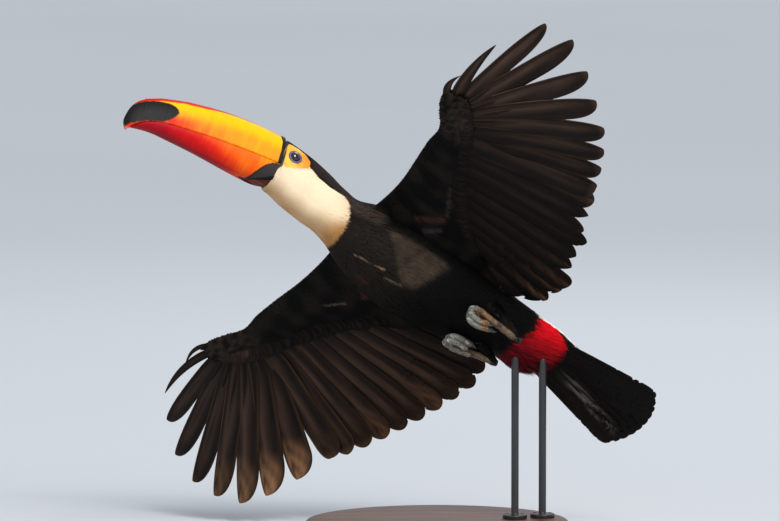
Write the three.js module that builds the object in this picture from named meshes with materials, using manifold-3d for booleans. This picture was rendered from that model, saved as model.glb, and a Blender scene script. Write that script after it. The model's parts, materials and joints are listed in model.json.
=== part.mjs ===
// A toco toucan in banked flight, life size, held by a plain display stand.
// Millimetres, +Z up, origin at the centre of the base's underside.
//
// The bird is built in a frame of its own: x forward, y to its left, z towards its back, with the
// origin on the trunk's axis between the shoulders. The head is built in a second frame, whose x
// runs along the bill. The bird's frame is then turned and set on the stand.
import * as THREE from "three";
import { mergeVertices } from "three/addons/utils/BufferGeometryUtils.js";
import Module from "manifold-3d";

const wasm = await Module();
wasm.setup();

// ---------------------------------------------------------------- driving dimensions
const SEAM = 0.3;                       // gap between pieces that meet

const HEADING = 194.1;                  // degrees about the vertical, from +X
const CLIMB = 33.9;                     // degrees, bill end up
const BANK = 50.7;                      // degrees, left wing up
const BIRD_ORIGIN = [-84, -25.5, 320.5];

const HEAD_ORIGIN = [113, 0, 14.4];     // middle of the bill's base, in the bird's frame
const HEAD_YAW = -8;                    // the head is held nearer to level than the body
const HEAD_PITCH = -6.7;
const HEAD_ROLL = -30.9;

const BODY_SIDES = 18;
const BODY_SEAM_STEP = 0.0011;          // a seam's share of the body's length
const COVERTS_STEPS = 5;                // rings along each stretch of the body
const TRUNK_STEPS = 12;
const NECK_STEPS = 6;
const HEAD_STEPS = 8;

const BILL_LENGTH = 170.5;
const BILL_BASE_HALF_WIDTH = 21.5;
const BILL_TIP_START = 155;             // where the upper bill starts to round off
const BILL_TIP_DEPTH = 29.2;            // the upper bill's depth there
const BILL_HOOK = { below: -12, drop: 11.5, back: 5.2 };    // the tip curls back below this height
const LOWER_BILL_LENGTH = 163;
const EYE_RADIUS = 7;
const EYE_CENTRE = [-13.3, 17, 14.2];   // left eye, in the head's frame

const ARM_SLACK = { left: 4.5, right: 0 };
const ELBOW = [-20, 107, 0];
const WRIST = [14, 178, -8];
const HAND_TIP = [29, 212, -12];
const FEATHER_THICKNESS = 1.1;
const FEATHER_TILT = Math.tan(THREE.MathUtils.degToRad(4));
const FEATHER_STEPS = 4;
const FEATHER_CROWDING = 1.8;           // draws those steps towards the tip

// Primaries are listed from P1, next to the secondaries, to P10, on the leading edge.
const PRIMARY_LENGTHS = [170, 174, 182, 188, 184, 179, 169, 146, 98, 46];
const PRIMARY_SWEEPS = [68.6, 57.2, 46.9, 38.4, 30, 22.3, 14.4, 6.7, -6, -20];
const PRIMARY_LIFTS = [-21, -39, -53, -57, -48, -31, -3, 19, 0, -7];
const PRIMARY_WIDTHS = [29, 29, 28, 25, 22, 20, 19, 18, 14.5, 9];
const PRIMARY_BOWS = [0, 0, 0, 0, 0, 0, 0.006, 0.025, 0.065, 0.14];     // shares of the length
const PRIMARY_FRONT = [0.24, 0.2, 0.17, 0.17, 0.17, 0.17, 0.2, 0.28, 0.34, 0.45];  // the front vane
const SECONDARY_COUNT = 9;
const SECONDARY_LENGTHS = [173, 196];   // first and last, evenly graded between
const INNERMOST_SHORTER = 8;            // the innermost one falls short of that grading
const SECONDARY_SWEEPS = [73.3, 102];
const SECONDARY_LIFTS = [-24, 7];
const SECONDARY_WIDTH = 27;
const TERTIALS = [                      // the short feathers that close the wing on the body
  { root: [-24, 84, 4], length: 180, sweep: 100, lift: 6 },
  { root: [-22, 70, 7], length: 162, sweep: 96, lift: 4 },
];

const TAIL_FEATHERS = 10;
const TAIL_ROOT = [-225, 1, 12];
const TAIL_ROOT_SPREAD = 14;            // the outermost feathers' roots, from the middle line
const TAIL_ARCH = 2.6;                  // how far they lie below the middle pair's
const TAIL_LENGTHS = [153, 141];        // middle pair, outermost pair
const TAIL_SPREAD = 11.1;               // degrees, outermost feather from the middle line
const TAIL_FEATHER_WIDTH = 25;
const TAIL_DROOP = -10;                 // how far the tips hang below the roots
const TAIL_YAW = -0.35;                 // degrees about the bird's vertical

const TARSUS_LENGTH = 55;
const TARSUS_RADIUS = 3.6;
const TOE_RADIUS = 3.4;
const CLAW_LENGTH = 11;
const THIGH_HIP_RADIUS = 13;
const THIGH_END_RADIUS = 4.5;

const BASE_RADIUS = 140;
const BASE_HEIGHT = 16;
const ROD_RADIUS = 4;
const ROD_FLANGE_RADIUS = 13;
const ROD_FLANGE_HEIGHT = 4;
const ROD_TOPS = { front: [-207, 0, 0], rear: [-243, 0, 2] };

// ---------------------------------------------------------------- helpers
const vector = (x, y, z) => new THREE.Vector3(x, y, z);
const radians = THREE.MathUtils.degToRad;
const mix = THREE.MathUtils.lerp;
const smooth = THREE.MathUtils.smoothstep;

/** A smooth curve through points, uniform in the points' index. */
function curveThrough(points) {
  return new THREE.CatmullRomCurve3(points.map((p) => vector(...p)), false, "catmullrom", 0.5);
}

/** A function of x through a few [x, value] pairs, smooth between them. */
function profile(pairs) {
  const curve = curveThrough(pairs.map(([x, value]) => [x, value, 0]));
  const last = pairs.length - 1;
  return (x) => {
    let index = 0;
    while (index < last - 1 && x > pairs[index + 1][0]) {
      index += 1;
    }
    const share = (x - pairs[index][0]) / (pairs[index + 1][0] - pairs[index][0]);
    return curve.getPoint((index + THREE.MathUtils.clamp(share, 0, 1)) / last).y;
  };
}

/** Drops all but position, joins the shared vertices, and turns the faces outwards. */
function closed(geometry) {
  const bare = new THREE.BufferGeometry();
  bare.setAttribute("position", geometry.getAttribute("position"));
  bare.setIndex(geometry.index);
  const merged = mergeVertices(bare, 1e-4);
  const at = merged.getAttribute("position");
  const index = merged.index.array;
  const [a, b, c] = [vector(0, 0, 0), vector(0, 0, 0), vector(0, 0, 0)];
  let volume = 0;
  for (let i = 0; i < index.length; i += 3) {
    a.fromBufferAttribute(at, index[i]);
    b.fromBufferAttribute(at, index[i + 1]);
    c.fromBufferAttribute(at, index[i + 2]);
    volume += a.dot(b.cross(c));
  }
  if (volume < 0) {
    for (let i = 0; i < index.length; i += 3) {
      [index[i], index[i + 1]] = [index[i + 1], index[i]];
    }
  }
  return merged;
}

function toSolid(geometry) {
  const merged = closed(geometry);
  return new wasm.Manifold(new wasm.Mesh({
    numProp: 3,
    vertProperties: new Float32Array(merged.getAttribute("position").array),
    triVerts: new Uint32Array(merged.index.array),
  }));
}

function toGeometry(solid) {
  const mesh = solid.getMesh();
  const geometry = new THREE.BufferGeometry();
  geometry.setAttribute("position", new THREE.BufferAttribute(mesh.vertProperties, 3));
  geometry.setIndex(new THREE.BufferAttribute(mesh.triVerts, 1));
  return geometry;
}

function join(geometries) {
  return geometries.map(toSolid).reduce((sum, solid) => sum.add(solid));
}

function cut(solid, ...tools) {
  return tools.reduce((rest, tool) => rest.subtract(tool), solid);
}

/** The one outer body of a solid: the sealed hollows between crossing plates are filled. */
function outerBody(solid) {
  return solid.decompose().reduce((most, body) => (body.volume() > most.volume() ? body : most));
}

/**
 * A tube-like solid: a cylinder whose side is moved to place(share, angle, radius), where share
 * runs 0 to 1 along it, angle goes round it and radius is 1 on the side and 0 at an end's middle.
 */
function loft(sides, steps, place) {
  const geometry = new THREE.CylinderGeometry(1, 1, 1, sides, steps);
  const at = geometry.getAttribute("position");
  for (let i = 0; i < at.count; i += 1) {
    const radius = Math.hypot(at.getX(i), at.getZ(i));
    const angle = Math.atan2(at.getZ(i), at.getX(i));
    const point = place(at.getY(i) + 0.5, angle, Math.min(radius, 1));
    at.setXYZ(i, point.x, point.y, point.z);
  }
  return geometry;
}

/** Mirrors a geometry from the bird's left to its right. */
function mirrored(geometry) {
  return geometry.clone().scale(1, -1, 1);
}

/** A round bar along a curve. */
function bar(points, radius, sides, steps) {
  const outline = new THREE.Shape();
  for (let i = 0; i < sides; i += 1) {
    const angle = (2 * Math.PI * i) / sides;
    const [x, y] = [radius * Math.cos(angle), radius * Math.sin(angle)];
    if (i === 0) {
      outline.moveTo(x, y);
    } else {
      outline.lineTo(x, y);
    }
  }
  return new THREE.ExtrudeGeometry(outline, { steps, extrudePath: curveThrough(points) });
}

function finish(color, roughness, metalness = 0) {
  return new THREE.MeshStandardMaterial({ color, roughness, metalness });
}

/** Adds a named mesh with a material of its own to a group. */
function addPiece(group, name, geometry, material) {
  const mesh = new THREE.Mesh(geometry, material);
  mesh.name = name;
  group.add(mesh);
}

// ---------------------------------------------------------------- frames
const birdGroup = new THREE.Group();
birdGroup.rotation.set(radians(BANK), -radians(CLIMB), radians(HEADING), "ZYX");
birdGroup.position.set(...BIRD_ORIGIN);
birdGroup.updateMatrix();

const headGroup = new THREE.Group();
headGroup.rotation.set(radians(HEAD_ROLL), -radians(HEAD_PITCH), radians(HEAD_YAW), "ZYX");
headGroup.position.set(...HEAD_ORIGIN);
headGroup.updateMatrix();
birdGroup.add(headGroup);

const headPoint = (x, y, z) => vector(x, y, z).applyMatrix4(headGroup.matrix);
const fromHead = (x, y, z) => headPoint(x, y, z).toArray();

// ---------------------------------------------------------------- head, neck, trunk and tail coverts
// One tapering body, listed from the tail coverts to the bill: where its axis runs, its half
// width, its height above and below the axis, and how far it is rolled with the head.
const BODY_STATIONS = [
  { at: [-263, 2, 13], half: [27, 5, 5], roll: 0 },
  { at: [-240, 2, 12], half: [32, 9, 14], roll: 0 },
  { at: [-212, 2, 10], half: [34, 15, 22], roll: 0 },
  { at: [-180, 3, 7], half: [35.5, 22, 29], roll: 0 },
  { at: [-145, 2, 3], half: [39, 31, 35], roll: 0 },
  { at: [-105, 1, 0], half: [45, 38, 45], roll: 0 },
  { at: [-65, 0, 0], half: [48, 40, 50], roll: 0 },
  { at: [-30, 0, 0], half: [46, 40, 45], roll: 0 },
  { at: [-2, 0, 1], half: [39, 39, 36], roll: -4 },
  { at: [22, 0, 4], half: [28, 30.5, 29.5], roll: -12 },
  { at: [41, 1, 8], half: [25.5, 28.5, 28.5], roll: -22 },
  { at: fromHead(-53, 0, -12), half: [25.5, 30.5, 29.5], roll: -30 },
  { at: fromHead(-30, 0, -4), half: [26, 31.3, 30.5], roll: -31 },
  { at: fromHead(-12, 0, 1.5), half: [24.5, 31, 29], roll: -31 },
  { at: fromHead(5, 0, 4), half: [21.5, 32.6, 28], roll: -31 },
];
const bodyAxis = curveThrough(BODY_STATIONS.map((station) => station.at));
const bodySizes = curveThrough(BODY_STATIONS.map((station) => station.half));
const bodyRolls = curveThrough(BODY_STATIONS.map((station) => [station.roll, 0, 0]));
const bodyShare = (station) => station / (BODY_STATIONS.length - 1);

/** The body's surface: an oval across the axis, deeper below it than above. */
function bodyPoint(share, angle, radius, grow) {
  const [halfWidth, above, below] = bodySizes.getPoint(share).toArray();
  const forward = bodyAxis.getTangent(share);
  const up = vector(0, 0, 1).applyAxisAngle(forward, radians(bodyRolls.getPoint(share).x));
  const right = vector(0, 0, 0).crossVectors(forward, up).normalize();
  up.crossVectors(right, forward);
  const height = Math.sin(angle) > 0 ? above : below;
  return bodyAxis.getPoint(share)
    .addScaledVector(right, radius * (halfWidth + grow) * Math.cos(angle))
    .addScaledVector(up, radius * (height + grow) * Math.sin(angle));
}

/** The stretch of body between two stations, grown by a skin of the given thickness. */
function bodyStretch(from, to, steps, grow = 0) {
  const start = bodyShare(from) + (from > 0 ? BODY_SEAM_STEP / 2 : 0);
  const end = bodyShare(to) - BODY_SEAM_STEP / 2;
  return loft(BODY_SIDES, steps, (share, angle, radius) => (
    bodyPoint(mix(start, end, share), angle, radius, grow)
  ));
}

const COVERTS_END = 2.25;               // stations where the body is parted
const TRUNK_END = 8.6;
const NECK_END = 10.9;
const HEAD_END = BODY_STATIONS.length - 1;

const tailCoverts = (grow = 0) => bodyStretch(0, COVERTS_END, COVERTS_STEPS, grow);
const trunk = (grow = 0) => bodyStretch(COVERTS_END, TRUNK_END, TRUNK_STEPS, grow);
const neck = () => bodyStretch(TRUNK_END, NECK_END, NECK_STEPS);

/** The trunk and tail coverts as one cutting tool, a seam larger than themselves. */
const bodyTool = () => toSolid(trunk(SEAM)).add(
  toSolid(bodyStretch(0, COVERTS_END + 0.05, COVERTS_STEPS, SEAM)),
);

// ---------------------------------------------------------------- bill, in the head's frame
const culmen = profile([[0, 36.9], [32, 38.9], [70, 37.8], [109, 32.3], [138, 24.6], [155, 16.9]]);
const gape = profile([[0, 1.2], [40, 1.2], [80, 0], [110, -2], [133, -4.8], [150, -10.4], [171, -24.2]]);
const keel = profile([[0, -24], [28, -23.4], [55, -21], [84, -18], [115, -16.1], [140, -15.6], [163, -21.5]]);

/** The bill's half width: widest at the base, narrowing faster towards the tip. */
function billHalfWidth(x) {
  return BILL_BASE_HALF_WIDTH * (1 - 0.62 * (x / BILL_LENGTH) ** 1.5);
}

/** Rounds an end off: 1 until start, then down to 0 at the end along a squarish quarter oval. */
function rounding(x, start, end, power) {
  const share = THREE.MathUtils.clamp((x - start) / (end - start), 0, 1);
  return (1 - share ** power) ** (1 / power);
}

const billPosition = (share, length) => length * (1 - (1 - share) ** 1.6);

/** Curls the end of the bill back: points low on the tip move towards the base. */
function hooked(x, y, z) {
  const low = Math.max(BILL_HOOK.below - z, 0) / BILL_HOOK.drop;
  return vector(x - BILL_HOOK.back * low ** 2 * smooth(x, BILL_TIP_START - 15, BILL_TIP_START + 5), y, z);
}

function upperBill() {
  return loft(14, 17, (share, angle, radius) => {
    const x = billPosition(share, BILL_LENGTH - 0.3);
    const end = rounding(x, BILL_TIP_START, BILL_LENGTH, 3);
    const rim = gape(x) + SEAM / 2;
    const ridge = x < BILL_TIP_START ? culmen(x) : rim + BILL_TIP_DEPTH * end;
    const lift = Math.max(Math.sin(angle), 0) ** 0.85;
    const halfWidth = billHalfWidth(x) * rounding(x, BILL_TIP_START - 20, BILL_LENGTH, 2.4);
    return hooked(x, radius * halfWidth * Math.cos(angle), rim + radius * (ridge - rim) * lift);
  });
}

function lowerBill() {
  return loft(12, 13, (share, angle, radius) => {
    const x = billPosition(share, LOWER_BILL_LENGTH - 0.4);
    const rim = gape(x) - SEAM / 2;
    const drop = Math.max(-Math.sin(angle), 0) ** 0.8;
    const end = rounding(x, LOWER_BILL_LENGTH - 30, LOWER_BILL_LENGTH, 2.2);
    const halfWidth = (billHalfWidth(x) - 1.2) * end;
    const depth = Math.max(rim - keel(x), 2) * end;
    return hooked(x, radius * halfWidth * Math.cos(angle), rim - radius * depth * drop);
  });
}

function eyeball(side, grow = 0) {
  const [x, y, z] = EYE_CENTRE;
  return new THREE.SphereGeometry(EYE_RADIUS + grow, 10, 7).translate(x, side * y, z);
}

/** The head, trimmed square behind the bill, with a socket for each eye. */
function head() {
  const trim = new THREE.BoxGeometry(60, 120, 120).translate(30 - SEAM, 0, 0);
  const tools = [trim, eyeball(1, SEAM), eyeball(-1, SEAM)].map((tool) => (
    toSolid(tool.applyMatrix4(headGroup.matrix))
  ));
  return cut(toSolid(bodyStretch(NECK_END, HEAD_END, HEAD_STEPS)), ...tools);
}

// ---------------------------------------------------------------- wings, built on the left
// The arm with its coverts, from the shoulder to the hand: how far out, where its leading and
// trailing edges are, how high its middle is and how thick it is.
const ARM_STATIONS = [
  { out: 30, lead: 8, trail: -160, height: 8, thick: 30 },
  { out: 62, lead: 8, trail: -108, height: 5, thick: 23 },
  { out: 92, lead: 11, trail: -74, height: 1, thick: 17 },
  { out: 125, lead: 17, trail: -46, height: -2, thick: 14 },
  { out: 155, lead: 22, trail: -28, height: -6, thick: 12 },
  { out: 178, lead: 22.5, trail: -16, height: -8, thick: 10.5 },
  { out: 198, lead: 34.5, trail: -3, height: -10, thick: 8 },
  { out: 214, lead: 42, trail: 10, height: -12, thick: 5.5 },
  { out: 226, lead: 43.5, trail: 24, height: -13, thick: 2.6 },
];
const WRIST_SHARE = 0.8;                // the wrist's place along the stations
const armEdges = curveThrough(ARM_STATIONS.map((s) => [s.out, s.lead, s.trail]));
const armHeights = curveThrough(ARM_STATIONS.map((s) => [s.height, s.thick, 0]));

/**
 * A wing's arm: rounded in front, thin behind, as a wing's section is. Its thickness follows
 * sqrt(back) * (1 - back) ** 1.15, which is fullest near a third of the chord, over a thin plate.
 * The skin in front of the elbow is slack by a given depth, and curves the leading edge in.
 */
function arm(slack, grow = 0) {
  return loft(12, 9, (share, angle, radius) => {
    const [out, tautLead, trail] = armEdges.getPoint(share).toArray();
    const lead = tautLead - slack * Math.sin(Math.PI * Math.min(share / WRIST_SHARE, 1));
    const [height, thick] = armHeights.getPoint(share).toArray();
    const back = (1 - Math.cos(angle)) / 2;
    const chord = lead - trail + 2 * grow;
    const bulge = 1.9 * Math.sqrt(back) * (1 - back) ** 1.15;
    const half = (thick / 2) * bulge + 0.8 + grow;
    const x = lead + grow - chord * back;
    const middle = lead + grow - chord / 2;
    return vector(mix(middle, x, radius), out, height + radius * half * Math.sin(angle) ** 3
      + radius * half * 0.35 * (Math.sin(angle) - Math.sin(angle) ** 3));
  });
}

/** Width along a feather: slim at the root, full in the middle, rounded or drawn out at the tip. */
function vaneWidth(share, width, tipStart, tipPower) {
  const body = mix(0.5, 1, smooth(share, 0, 0.3));
  return Math.max(width * body * rounding(share, tipStart, 1, tipPower), 1.6);
}

/** The point a share of the way along a quill: swept, bowed forward, and raised by its lift. */
function quillPoint({ root, length: fullLength, sweep, lift, bow }, share) {
  const length = Math.sqrt(fullLength ** 2 - lift ** 2);
  const along = vector(-Math.sin(radians(sweep)), Math.cos(radians(sweep)), 0);
  const across = vector(Math.cos(radians(sweep)), Math.sin(radians(sweep)), 0);
  return vector(...root)
    .addScaledVector(along, length * share)
    .addScaledVector(across, bow * length * 4 * share * (1 - share))
    .add(vector(0, 0, lift * share ** 1.5));
}

/** How steeply the wing's surface rises from one quill towards the next, at a share of the first. */
function slopeTowards(quill, next, share) {
  if (!next) {
    return 0;
  }
  const here = quillPoint(quill, share);
  const there = quillPoint(next, Math.min(1, (share * quill.length) / next.length));
  const apart = Math.hypot(there.x - here.x, there.y - here.y);
  return THREE.MathUtils.clamp((there.z - here.z) / Math.max(apart, 6), -0.35, 0.35);
}

/**
 * One flight feather as a thin plate on its quill. Its front vane is the narrow one, and both
 * vanes slope towards the neighbouring quills, so that the feathers make one surface.
 */
function feather(quill, ahead, behind) {
  const geometry = new THREE.BoxGeometry(1, 1, 1, 1, FEATHER_STEPS, 1);
  const across = vector(Math.cos(radians(quill.sweep)), Math.sin(radians(quill.sweep)), 0);
  const at = geometry.getAttribute("position");
  for (let i = 0; i < at.count; i += 1) {
    const share = 1 - (0.5 - at.getY(i)) ** FEATHER_CROWDING;
    const full = vaneWidth(share, quill.width, quill.tipStart, quill.tipPower);
    const part = at.getX(i) > 0 ? quill.front : 1 - quill.front;
    const side = 2 * at.getX(i) * part * full;
    const slope = side > 0 ? slopeTowards(quill, ahead, share) : slopeTowards(quill, behind, share);
    const rise = Math.abs(side) * slope + quill.tilt * side + at.getZ(i) * FEATHER_THICKNESS;
    const point = quillPoint(quill, share).addScaledVector(across, side);
    at.setXYZ(i, point.x, point.y, point.z + rise);
  }
  return geometry;
}

/** Point on the line from the wrist to the hand's tip, or from the wrist to the elbow and in. */
const onHand = (share) => vector(...WRIST).lerp(vector(...HAND_TIP), share).toArray();
const onForearm = (share) => vector(...WRIST).lerp(vector(...ELBOW), share).toArray();

function primaryQuills() {
  return PRIMARY_LENGTHS.map((length, i) => {
    const outward = i / (PRIMARY_LENGTHS.length - 1);
    const narrow = i > 7;
    return {
      root: onHand(0.1 + 0.9 * outward),
      length,
      sweep: PRIMARY_SWEEPS[i],
      lift: PRIMARY_LIFTS[i],
      width: PRIMARY_WIDTHS[i],
      bow: PRIMARY_BOWS[i],
      tipStart: narrow ? 0.25 : mix(0.88, 0.6, outward),
      tipPower: narrow ? 1.4 : 2.2,
      tilt: FEATHER_TILT,
      front: PRIMARY_FRONT[i],
    };
  });
}

function secondaryQuills() {
  return Array.from({ length: SECONDARY_COUNT }, (_, i) => {
    const inward = i / (SECONDARY_COUNT - 1);
    return {
      root: onForearm(0.06 + 1.06 * inward),
      length: mix(...SECONDARY_LENGTHS, inward) - INNERMOST_SHORTER * smooth(inward, 0.87, 1),
      sweep: mix(...SECONDARY_SWEEPS, inward),
      lift: mix(...SECONDARY_LIFTS, inward),
      width: SECONDARY_WIDTH,
      bow: 0,
      tipStart: 0.9,
      tipPower: 2,
      tilt: FEATHER_TILT,
      front: 0.42,
    };
  });
}

/** The tertials: as wide as the secondaries and of the same form. */
function tertialQuills() {
  const [secondary] = secondaryQuills();
  return TERTIALS.map((own) => ({ ...secondary, ...own }));
}

/** All of a wing's flight feathers, from the innermost tertial to the outermost primary. */
function flightFeathers() {
  const inner = [...secondaryQuills(), ...tertialQuills()].reverse();
  const quills = [...inner, ...primaryQuills()];
  return quills.map((quill, i) => feather(quill, quills[i + 1], quills[i - 1]));
}

function wingPieces(name) {
  const turn = (geometry) => (name === "left" ? geometry : mirrored(geometry));
  const armTool = toSolid(turn(arm(ARM_SLACK[name], SEAM)));
  const armSolid = cut(toSolid(turn(arm(ARM_SLACK[name]))), bodyTool());
  const fan = join(flightFeathers().map(turn));
  return { armSolid, fanSolid: outerBody(cut(outerBody(fan), armTool, bodyTool())) };
}

// ---------------------------------------------------------------- tail
function tail() {
  const feathers = Array.from({ length: TAIL_FEATHERS }, (_, i) => {
    const side = (2 * i) / (TAIL_FEATHERS - 1) - 1;
    const outward = Math.abs(side);
    const geometry = feather({
      root: [0, 0, 0],
      length: mix(...TAIL_LENGTHS, outward ** 2),
      sweep: 90 - outward * TAIL_SPREAD,
      lift: TAIL_DROOP,
      width: TAIL_FEATHER_WIDTH,
      bow: 0,
      tipStart: 0.9,
      tipPower: 2.2,
      tilt: 0,
      front: mix(0.5, 0.36, outward),
    });
    const turned = side < 0 ? mirrored(geometry) : geometry;
    const [x, y, z] = TAIL_ROOT;
    return turned
      .translate(0, TAIL_ROOT_SPREAD * side, -TAIL_ARCH * outward)
      .rotateZ(radians(-TAIL_YAW))
      .translate(x, y, z);
  });
  return outerBody(cut(join(feathers), bodyTool()));
}

// ---------------------------------------------------------------- legs
// A leg is drawn in a frame at its heel: x towards the toes, y outwards, z towards the belly.
const LEGS = {
  left: { hip: [-152, 24, -8], heel: [-195, 30, -38], yaw: 0, pitch: 4, roll: 0 },
  right: { hip: [-152, -16, -8], heel: [-197, -19, -27], yaw: -6.5, pitch: -9.4, roll: 60 },
};
const TOES = [
  { side: 1, path: [[51, 2, 0], [60, 2.4, -5], [60, 2.4, -14], [50, 2.4, -17], [37, 2.4, -11]] },
  { side: -1, path: [[51, 2, 0], [59, 2.6, -7], [57, 2.8, -18], [46, 2.8, -18.5], [35, 2.8, -12]] },
  { side: 1, path: [[52, 3, -1], [46, 5, -5], [38, 5.5, -6.5], [30, 4.8, -5.5]] },
  { side: -1, path: [[52, 3, -1], [48, 5, -8], [39, 5.5, -10], [31, 5, -8]] },
];

/** A claw: a cone that carries a toe's last direction on, with its base inside the toe. */
function claw(end, before) {
  const direction = vector(...end).sub(vector(...before)).normalize();
  const turn = new THREE.Quaternion().setFromUnitVectors(vector(0, 1, 0), direction);
  const middle = vector(...end).addScaledVector(direction, CLAW_LENGTH / 2 - 2);
  return new THREE.ConeGeometry(TOE_RADIUS * 0.8, CLAW_LENGTH, 5)
    .applyQuaternion(turn)
    .translate(...middle.toArray());
}

function foot() {
  const pieces = [
    bar([[0, 0, 0], [TARSUS_LENGTH / 2, 0, 0.8], [TARSUS_LENGTH, 0, 0]], TARSUS_RADIUS, 7, 3),
    new THREE.SphereGeometry(TARSUS_RADIUS * 1.5, 7, 5).translate(TARSUS_LENGTH - 2, 0, -1),
  ];
  for (const { side, path } of TOES) {
    const placed = path.map(([x, y, z]) => [x, side * y, z]);
    const tip = placed[placed.length - 1];
    pieces.push(bar(placed, TOE_RADIUS, 5, path.length));
    pieces.push(claw(tip, placed[placed.length - 2]));
  }
  return pieces;
}

/** The feathered thigh: a tapering bulge from the hip, inside the belly, to just past the heel. */
function thigh({ hip, heel }, grow = 0) {
  const start = vector(...hip);
  const reach = vector(...heel).sub(start);
  const beyond = THIGH_END_RADIUS + grow;
  const forward = reach.clone().normalize();
  const right = vector(0, 0, 0).crossVectors(forward, vector(0, 0, 1)).normalize();
  const up = vector(0, 0, 0).crossVectors(right, forward);
  return loft(10, 5, (share, angle, radius) => {
    const size = mix(THIGH_HIP_RADIUS, THIGH_END_RADIUS, share) * rounding(share, 0.7, 1.1, 2);
    return start.clone()
      .addScaledVector(forward, (reach.length() + beyond * 0.6) * share)
      .addScaledVector(right, radius * (size + grow) * Math.cos(angle))
      .addScaledVector(up, radius * (size + grow) * Math.sin(angle));
  });
}

function legPieces(name) {
  const leg = LEGS[name];
  const turns = [radians(leg.roll), -radians(leg.pitch), radians(leg.yaw)];
  const place = new THREE.Matrix4()
    .makeRotationFromEuler(new THREE.Euler(...turns, "ZYX"))
    .setPosition(...leg.heel);
  const footPieces = foot()
    .map((piece) => (name === "left" ? piece : mirrored(piece)))
    .map((piece) => piece.applyMatrix4(place));
  return {
    thighSolid: outerBody(cut(toSolid(thigh(leg)), bodyTool())),
    footSolid: outerBody(cut(join(footPieces), toSolid(thigh(leg, SEAM)), bodyTool())),
  };
}

// ---------------------------------------------------------------- stand
function standBase() {
  const edge = 4;
  const outline = [
    [0, 0], [BASE_RADIUS - 1.5, 0], [BASE_RADIUS, 1.5], [BASE_RADIUS, BASE_HEIGHT - edge],
    [BASE_RADIUS - edge * 0.3, BASE_HEIGHT - edge * 0.3], [BASE_RADIUS - edge, BASE_HEIGHT],
    [0, BASE_HEIGHT],
  ].map(([r, z]) => new THREE.Vector2(r, z));
  return new THREE.LatheGeometry(outline, 32).rotateX(Math.PI / 2);
}

/** A round rod with a flange on the base, cut off where it meets the bird. */
function standRod(name) {
  const top = vector(...ROD_TOPS[name]).applyMatrix4(birdGroup.matrix);
  const foot = BASE_HEIGHT + SEAM;
  const outline = [
    [0, foot], [ROD_FLANGE_RADIUS, foot], [ROD_FLANGE_RADIUS, foot + ROD_FLANGE_HEIGHT - 1],
    [ROD_FLANGE_RADIUS - 1, foot + ROD_FLANGE_HEIGHT], [ROD_RADIUS, foot + ROD_FLANGE_HEIGHT],
    [ROD_RADIUS, top.z], [0, top.z],
  ].map(([r, z]) => new THREE.Vector2(r, z));
  const rod = new THREE.LatheGeometry(outline, 16).rotateX(Math.PI / 2).translate(top.x, top.y, 0);
  return cut(toSolid(rod), bodyTool().transform(birdGroup.matrix.elements));
}

// ---------------------------------------------------------------- assembly
const toucan = new THREE.Group();
toucan.add(birdGroup);

const BLACK_PLUMAGE = 0x14110f;
const FLIGHT_BROWN = 0x2a211c;

addPiece(birdGroup, "tail_coverts", closed(tailCoverts()), finish(0xb01018, 0.85));
addPiece(birdGroup, "trunk", closed(trunk()), finish(BLACK_PLUMAGE, 0.8));
addPiece(birdGroup, "neck", closed(neck()), finish(0xf2ead8, 0.85));
addPiece(birdGroup, "head", toGeometry(head()), finish(0xf0ece0, 0.8));
addPiece(headGroup, "bill_upper", closed(upperBill()), finish(0xf59a12, 0.35));
addPiece(headGroup, "bill_lower", closed(lowerBill()), finish(0xd6330f, 0.35));
addPiece(headGroup, "eye_left", closed(eyeball(1)), finish(0x0b0807, 0.1));
addPiece(headGroup, "eye_right", closed(eyeball(-1)), finish(0x0b0807, 0.1));
addPiece(birdGroup, "tail", toGeometry(tail()), finish(BLACK_PLUMAGE, 0.75));

for (const name of ["left", "right"]) {
  const { armSolid, fanSolid } = wingPieces(name);
  const { thighSolid, footSolid } = legPieces(name);
  addPiece(birdGroup, `wing_${name}_arm`, toGeometry(armSolid), finish(BLACK_PLUMAGE, 0.8));
  addPiece(birdGroup, `wing_${name}_flight_feathers`, toGeometry(fanSolid), finish(FLIGHT_BROWN, 0.7));
  addPiece(birdGroup, `thigh_${name}`, toGeometry(thighSolid), finish(BLACK_PLUMAGE, 0.85));
  addPiece(birdGroup, `foot_${name}`, toGeometry(footSolid), finish(0x7c8488, 0.6));
}

addPiece(toucan, "stand_base", closed(standBase()), finish(0x3a2a1e, 0.5));
for (const name of Object.keys(ROD_TOPS)) {
  addPiece(toucan, `stand_rod_${name}`, toGeometry(standRod(name)), finish(0x25262a, 0.4, 0.9));
}

export default toucan;
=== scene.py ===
# %% [markdown]
# # A toco toucan in banked flight
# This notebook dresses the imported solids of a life-size display model: a toucan on two steel
# rods over a wooden base. The solids give every place and size. Here the bird gets one skin,
# a coat of small feathers, long flight and tail feathers with shafts and barbs, a horn bill,
# bare skin and lids round the eyes, and scaled feet. Lengths are written in millimetres in
# the bird's own frame and turned into metres in the row's frame as each mesh is made.

import json
import math

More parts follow.
